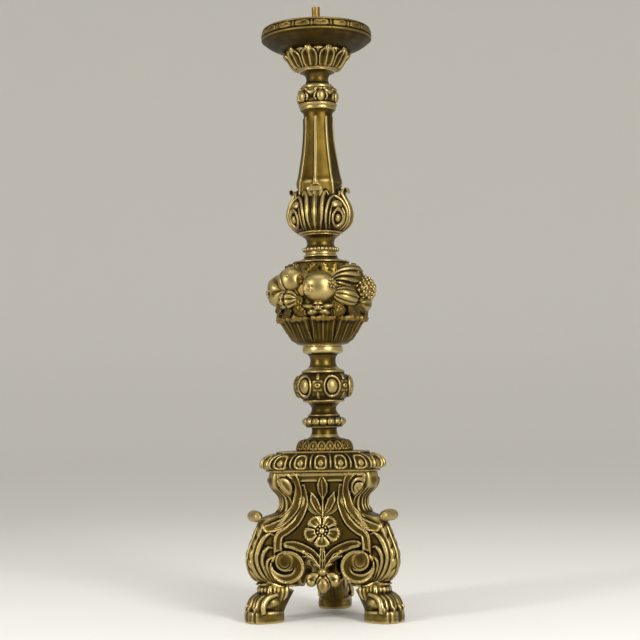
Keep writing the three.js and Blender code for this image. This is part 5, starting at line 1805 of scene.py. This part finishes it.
class FruitCarver:
    """Carves the fruit, each as a ball that lies along its length."""

    ROWS = 64
    COLS = 84

    def __init__(self) -> None:
        """Seeds the placing of berries."""
        self.chance = np.random.default_rng(7)

    def shell(self, fruit: Fruit, foot: float) -> Shell:
        """Builds one fruit where it sits.

        Args:
            fruit: The fruit.
            foot: The height of the vase's foot.

        Returns:
            The closed shell.
        """
        halves = np.array([fruit.size[0], fruit.size[2], fruit.size[1]]) * FRUIT_MM
        if fruit.kind is Kind.GRAPES:
            body = self._berries(halves)
        else:
            body = joined([self._body(fruit.kind, halves), *self._extras(fruit.kind, halves)])
        cos, sin = math.cos(math.radians(fruit.tilt)), math.sin(math.radians(fruit.tilt))
        body.points = body.points @ np.array([[cos, 0, sin], [0, 1, 0], [-sin, 0, cos]])
        body = body.shifted(y=-fruit.out * VASE_BELLY, z=foot + fruit.up * VASE_HEIGHT)
        return body.turned(fruit.bearing)

    def _body(self, kind: Kind, halves: Array) -> Shell:
        """Builds a fruit's body, its length along x."""
        lat = np.linspace(-math.pi / 2, math.pi / 2, self.ROWS + 2)[1:-1][:, None]
        lon = np.linspace(0, 2 * math.pi, self.COLS, endpoint=False)[None]
        x, ring = np.sin(lat) + 0 * lon, np.cos(lat)
        unit = np.stack([x, ring * np.sin(lon), ring * np.cos(lon)], axis=-1)
        lift = self._relief(kind, lat, lon, unit)
        grid = unit * halves * (1 + lift)[..., None]
        return sleeve(grid[::-1])

    def _relief(self, kind: Kind, lat: Array, lon: Array, unit: Array) -> Array:
        """Gives how far a body's surface swells, as a share of its radius."""
        front = np.arccos(np.clip(-unit[..., 1], -1, 1))
        ends = ramp(1.1, 1.45, np.abs(lat)) + 0 * lon
        if kind is Kind.POMEGRANATE:
            return 0.02 * np.cos(6 * lon) - 0.10 * ends
        if kind is Kind.PEACH:
            crease = np.exp(-((unit[..., 0] * 0.8 + unit[..., 2] * 0.25) / 0.07) ** 2)
            return -0.07 * crease * ramp(-0.2, 0.4, -unit[..., 1]) - 0.16 * ends
        if kind is Kind.QUINCE:
            return -0.30 * np.exp(-((front - 0.25) / 0.24) ** 2) + 0.03 * np.cos(5 * lon)
        if kind is Kind.HUSK:
            return 0.075 * np.cos(9 * (lon + 0.75 * lat)) * np.cos(lat) ** 0.5 - 0.05 * ends
        if kind is Kind.MELON:
            return 0.07 * np.abs(np.cos(5 * lon)) * np.cos(lat) ** 0.6 - 0.12 * ends
        if kind is Kind.NUTS:
            waist = np.exp(-((unit[..., 0] - 0.05) / 0.16) ** 2)
            return 0.05 * np.cos(10 * lon) * np.cos(lat) - 0.24 * waist
        if kind is Kind.FIG:
            return 0.10 * ramp(0.2, 1.5, lat) - 0.02 * np.cos(7 * lon) * np.cos(lat)
        petals = np.cos(2.5 * np.arctan2(unit[..., 0], unit[..., 2])) ** 2
        return 0.28 * petals * np.sin(front) - 0.12 * np.exp(-((front - 0.45) / 0.16) ** 2)

    def _extras(self, kind: Kind, halves: Array) -> list[Shell]:
        """Builds the crowns, eyes and stalks that stand on a body."""
        made = []
        if kind is Kind.POMEGRANATE:
            made += self._crown(np.array([0.70, -0.68, 0.20]) * halves, 7, 7.8)
            bud = np.array([-0.56, -0.66, -0.10]) * halves
            made.append(ellipsoid(bud, (10.6, 6.4, 11.4)))
            made += self._crown(bud + np.array([-1.6, -2.8, 0.4]), 5, 9.0)
        if kind is Kind.QUINCE:
            made += self._crown(np.array([0.1, -0.80, -0.2]) * halves, 5, 6.0)
        if kind is Kind.PEACH:
            made.append(ellipsoid(np.array([0.45, -0.84, 0.30]) * halves, (3.4, 3.4, 3.4)))
        if kind is Kind.BLOSSOM:
            made.append(ellipsoid(np.array([0.0, -1.02, 0.0]) * halves, (4.4, 4.0, 4.0)))
        return made

    def _crown(self, place: Array, points: int, radius: float) -> list[Shell]:
        """Builds a ring of small sepals round a bead.

        Args:
            place: Where it sits on the fruit, from the fruit's middle.
            points: How many sepals.
            radius: The ring's radius.

        Returns:
            The bead and the sepals.
        """
        out = place / np.linalg.norm(place)
        side = np.cross(out, [0, 0, 1.0])
        side /= np.linalg.norm(side)
        rise = np.cross(side, out)
        made = [ellipsoid(place + out * 1.5, (radius * 0.36,) * 3)]
        for turn in np.linspace(0, 2 * math.pi, points, endpoint=False):
            away = side * math.cos(turn) + rise * math.sin(turn)
            path = curve([place + away * radius * 0.45 - out * 0.5,
                          place + away * radius * 0.8 + out * 2.2,
                          place + away * radius * 1.15 + out * 1.4])
            flank = np.cross(out, away)
            made.append(loft(path, (1.4, 2.3, 0.5), (1.0, 1.3, 0.4), flank, 12))
        return made

    def _berries(self, halves: Array) -> Shell:
        """Builds a bunch of berries packed over an oval core."""
        count = 96
        turn = np.arange(count) * math.pi * (3 - math.sqrt(5))
        rise = 1 - 2 * (np.arange(count) + 0.5) / count
        ring = np.sqrt(1 - rise**2)
        places = np.stack([ring * np.cos(turn), rise, ring * np.sin(turn)], axis=1)
        made = [ellipsoid((0, 0, 0), halves * 0.84, pitch=2.4)]
        for place in places:
            size = 3.1 + 0.7 * self.chance.random()
            made.append(ellipsoid(place * (halves - 3.0), (size,) * 3, pitch=1.5))
        return joined(made)


@dataclass(frozen=True)
class LeafSpray:
    """A leaf that lies between the fruit.

    Attributes:
        bearing: Where its root sits, in degrees.
        root: Its root's height, as a share of the vase's height.
        lean: How many degrees its tip lies further right.
        rise: How far its tip lies above the root, in millimetres.
        reach: How far out it lies, as a share of the vase's belly.
        half: Half its width.
    """

    bearing: float
    root: float
    lean: float
    rise: float
    reach: float = 1.05
    half: float = 9.0

    def shell(self, foot: float) -> Shell:
        """Builds the leaf, with a middle rib, side ribs and a lifted tip.

        Args:
            foot: The height of the vase's foot.

        Returns:
            The closed shell.
        """
        t = np.linspace(0, 1, 34)[:, None]
        q = np.linspace(-1, 1, 25)[None]
        wide = self.half * np.sin(np.clip(t * 0.92 + 0.06, 0, 1) * math.pi) ** 0.75 + 0.4
        wide = wide * (1 + 0.10 * np.cos(t * math.pi * 9))
        length = math.hypot(math.radians(self.lean) * VASE_BELLY, self.rise)
        tilt = math.atan2(self.rise, math.radians(self.lean) * VASE_BELLY)
        along, aside = t * length, q * wide
        u = along * math.cos(tilt) - aside * math.sin(tilt)
        v = along * math.sin(tilt) + aside * math.cos(tilt)
        rib = 1.3 * np.exp(-((q / 0.12) ** 2)) - 3.2 * np.abs(q) ** 2.5 * (1 - 0.6 * t)
        veins = 0.20 * np.cos(2 * math.pi * (4 * t - 0.9 * np.abs(q))) * ramp(0.1, 0.3, np.abs(q))
        out = self.reach * VASE_BELLY + 4.0 + rib + veins + 4.0 * t**2 - 3.0 * ramp(0.85, 1.0, t)
        bearing = math.radians(self.bearing) + u / VASE_BELLY
        up = foot + self.root * VASE_HEIGHT + v
        front = np.stack([out * np.sin(bearing), -out * np.cos(bearing), up], axis=-1)
        thin = out - 2.6
        back = np.stack([thin * np.sin(bearing), -thin * np.cos(bearing), up], axis=-1)
        leaf = slab(front, back)
        leaf.shade_and_grime = np.full(len(leaf.points), -0.7)
        return leaf


LEAVES = (
    LeafSpray(-14, 0.80, 16, 12, 0.86, 10), LeafSpray(-22, 0.60, -14, 12, 0.98),
    LeafSpray(24, 0.52, 16, -6, 1.0), LeafSpray(50, 0.66, 18, 10, 1.1, 8),
    LeafSpray(-20, 0.36, -14, -14, 1.06), LeafSpray(20, 0.28, 14, -12, 1.06),
    LeafSpray(66, 0.42, 14, 10, 1.04), LeafSpray(-58, 0.24, -14, -12, 1.08, 8),
    LeafSpray(-96, 0.64, -14, 12, 0.98), LeafSpray(112, 0.34, 14, -10, 1.05),
    LeafSpray(150, 0.70, 14, 12, 0.95), LeafSpray(206, 0.72, 16, 8, 0.95),
    LeafSpray(202, 0.36, 12, -12, 1.05), LeafSpray(-104, 0.26, 16, -8, 1.06),
) + tuple(
    LeafSpray(24 * i + 9, 0.97, 5 - 10 * (i % 2), -26 - 4 * (i % 3), 0.80 + 0.03 * (i % 2), 12)
    for i in range(15)
) + tuple(
    LeafSpray(22.5 * i + 5, -0.02, 7 - 14 * (i % 2), 24 + 5 * (i % 3), 0.97, 11)
    for i in range(16)
) + tuple(
    LeafSpray(36 * i + 21, 0.02, 16 - 32 * (i % 2), 12 + 3 * (i % 2), 1.07, 8) for i in range(10)
)


class FruitBand:
    """The fruit and leaves round the vase."""

    def build(self, shop: Workshop, finishes: dict[str, Finish]) -> None:
        """Makes every fruit, and the leaves as one piece.

        Args:
            shop: The workshop.
            finishes: The finishes by record slot.
        """
        foot, carver = shop.level("fruit_vase"), FruitCarver()
        for fruit in FRUITS:
            shop.place(f"carved_{fruit.node}", carver.shell(fruit, foot), finishes["gilt_wood"],
                       fruit.node)
        leaves = joined([leaf.shell(foot) for leaf in LEAVES])
        shop.place("vase_leaves", leaves, finishes["bright_gilt_wood"])


# ------------------------------------------------------------------ studio


@dataclass
class Studio:
    """The camera at the photograph's angle, the lamps, the floor and the backdrop.

    Attributes:
        distance: From the camera to the column's axis, in millimetres.
        height: The camera's height over the floor, in millimetres.
        bearing: Where it stands, from the front towards the right, in degrees.
        pitch: How far it looks up, in degrees.
        roll: How far it is tipped about its line of sight, in degrees.
        focal_px: Its focal length, in pixels of a picture 640 wide.
        axis_px: How far right of the picture's middle the axis stands, in pixels.
        picture_px: The picture's width, in pixels.
        sensor_mm: The sensor's width.
        aim: The point that the lamps face, in metres.
    """

    distance: float = 2408.0
    height: float = 358.0
    bearing: float = 6.6
    pitch: float = 3.02
    roll: float = -1.17
    focal_px: float = 1460.0
    axis_px: float = 2.1
    picture_px: float = 640.0
    sensor_mm: float = 36.0
    aim: Sequence[float] = (0.0, 0.0, 0.5)

    def camera(self, shop: Workshop) -> None:
        """Sets up the camera."""
        data = bpy.data.cameras.new("camera")
        data.sensor_width = self.sensor_mm
        data.lens = self.focal_px * self.sensor_mm / self.picture_px
        data.shift_x = -self.axis_px / self.picture_px
        camera = bpy.data.objects.new("camera", data)
        bearing = math.radians(self.bearing)
        away = Vector((math.sin(bearing), -math.cos(bearing), 0.0)) * self.distance
        camera.location = (away + Vector((0.0, 0.0, self.height))) * MM + Vector(shop.axis)
        camera.rotation_mode = "QUATERNION"
        look = -away.normalized() * math.cos(math.radians(self.pitch))
        look.z = math.sin(math.radians(self.pitch))
        turn = look.to_track_quat("-Z", "Y")
        camera.rotation_quaternion = turn @ Quaternion((0, 0, 1), math.radians(self.roll))
        bpy.context.scene.collection.objects.link(camera)
        bpy.context.scene.camera = camera

    def lamp(self, name: str, place: Sequence[float], size: Sequence[float],
             watts: float) -> None:
        """Adds one soft lamp that shines at the stand.

        Args:
            name: The lamp's name.
            place: Where it is, in metres.
            size: Its width and height, in metres.
            watts: Its power.
        """
        data = bpy.data.lights.new(name, "AREA")
        data.shape = "RECTANGLE"
        data.size, data.size_y = size
        data.energy = watts
        lamp = bpy.data.objects.new(name, data)
        lamp.location = place
        lamp.rotation_mode = "QUATERNION"
        lamp.rotation_quaternion = (Vector(self.aim) - Vector(place)).to_track_quat("-Z", "Y")
        bpy.context.scene.collection.objects.link(lamp)

    def surroundings(self) -> None:
        """Adds the round floor, which turns up into a low backdrop, and the pale world."""
        around = np.linspace(0, 2 * math.pi, 96, endpoint=False)
        run = curve([(0.001, 0.0), (1.5, 0.0), (3.6, 0.0), (5.4, 0.22), (6.5, 1.1), (7.0, 3.8)])
        rings = [np.stack([reach * np.sin(around), reach * np.cos(around), z + 0 * around],
                          axis=-1) for reach, z in run]
        mesh = bpy.data.meshes.new("floor_and_backdrop")
        mesh.from_pydata(np.concatenate(rings).tolist(), [],
                         lattice(len(rings), len(around), True).tolist())
        mesh.shade_smooth()
        mesh.materials.append(PaintedBoard("pale_backdrop", "#efede8").material())
        sweep = bpy.data.objects.new("floor_and_backdrop", mesh)
        bpy.context.scene.collection.objects.link(sweep)
        world = bpy.data.worlds.new("studio")
        world.use_nodes = True
        world.node_tree.nodes["Background"].inputs["Color"].default_value = linear("#d6d4cf")
        world.node_tree.nodes["Background"].inputs["Strength"].default_value = 0.75
        bpy.context.scene.world = world

    def build(self, shop: Workshop) -> None:
        """Sets up the whole studio."""
        self.camera(shop)
        self.surroundings()
        self.lamp("right_window", (1.5, -1.9, 1.3), (0.8, 1.6), 50.0)
        self.lamp("left_window", (-1.7, -1.6, 1.1), (0.4, 1.4), 26.0)
        self.lamp("high_fill", (0.0, -0.4, 2.6), (1.4, 1.4), 12.0)
        bpy.context.scene.view_settings.view_transform = "Standard"


def gildings() -> dict[str, Finish]:
    """Makes the finishes, by record slot."""
    # Each gilding's pale colour is leaf rubbed bright on the high parts, with a painted highlight.
    # Its dark colour is dust in the hollows, with painted shade.
    made = [
        WaterGilding("gilt_wood", leaf="#503f14", rubbed_and_highlight="#a99660", dust_and_shade="#120a02",
                     roughness=0.33).finish(),
        WaterGilding("bright_gilt_wood", leaf="#625020", rubbed_and_highlight="#b9a670", dust_and_shade="#180e03",
                     roughness=0.27).finish(),
        WaterGilding("worn_gilt_wood", leaf="#43350f", rubbed_and_highlight="#7f6b37", dust_and_shade="#130b02",
                     roughness=0.40).finish(),
        AgedBrass("brass_fittings", bright="#b0924f", film="#4d3b22").finish(),
    ]
    return {finish.slot: finish for finish in made}


def main() -> None:
    """Builds the stand and the studio."""
    logging.basicConfig(level=logging.INFO, format="%(message)s")
    shop = Workshop()
    finishes = gildings()
    Base().build(shop, finishes)
    Column().build(shop, finishes)
    FruitBand().build(shop, finishes)
    Studio().build(shop)
    bpy.context.view_layer.update()


if __name__ == "__main__":
    main()
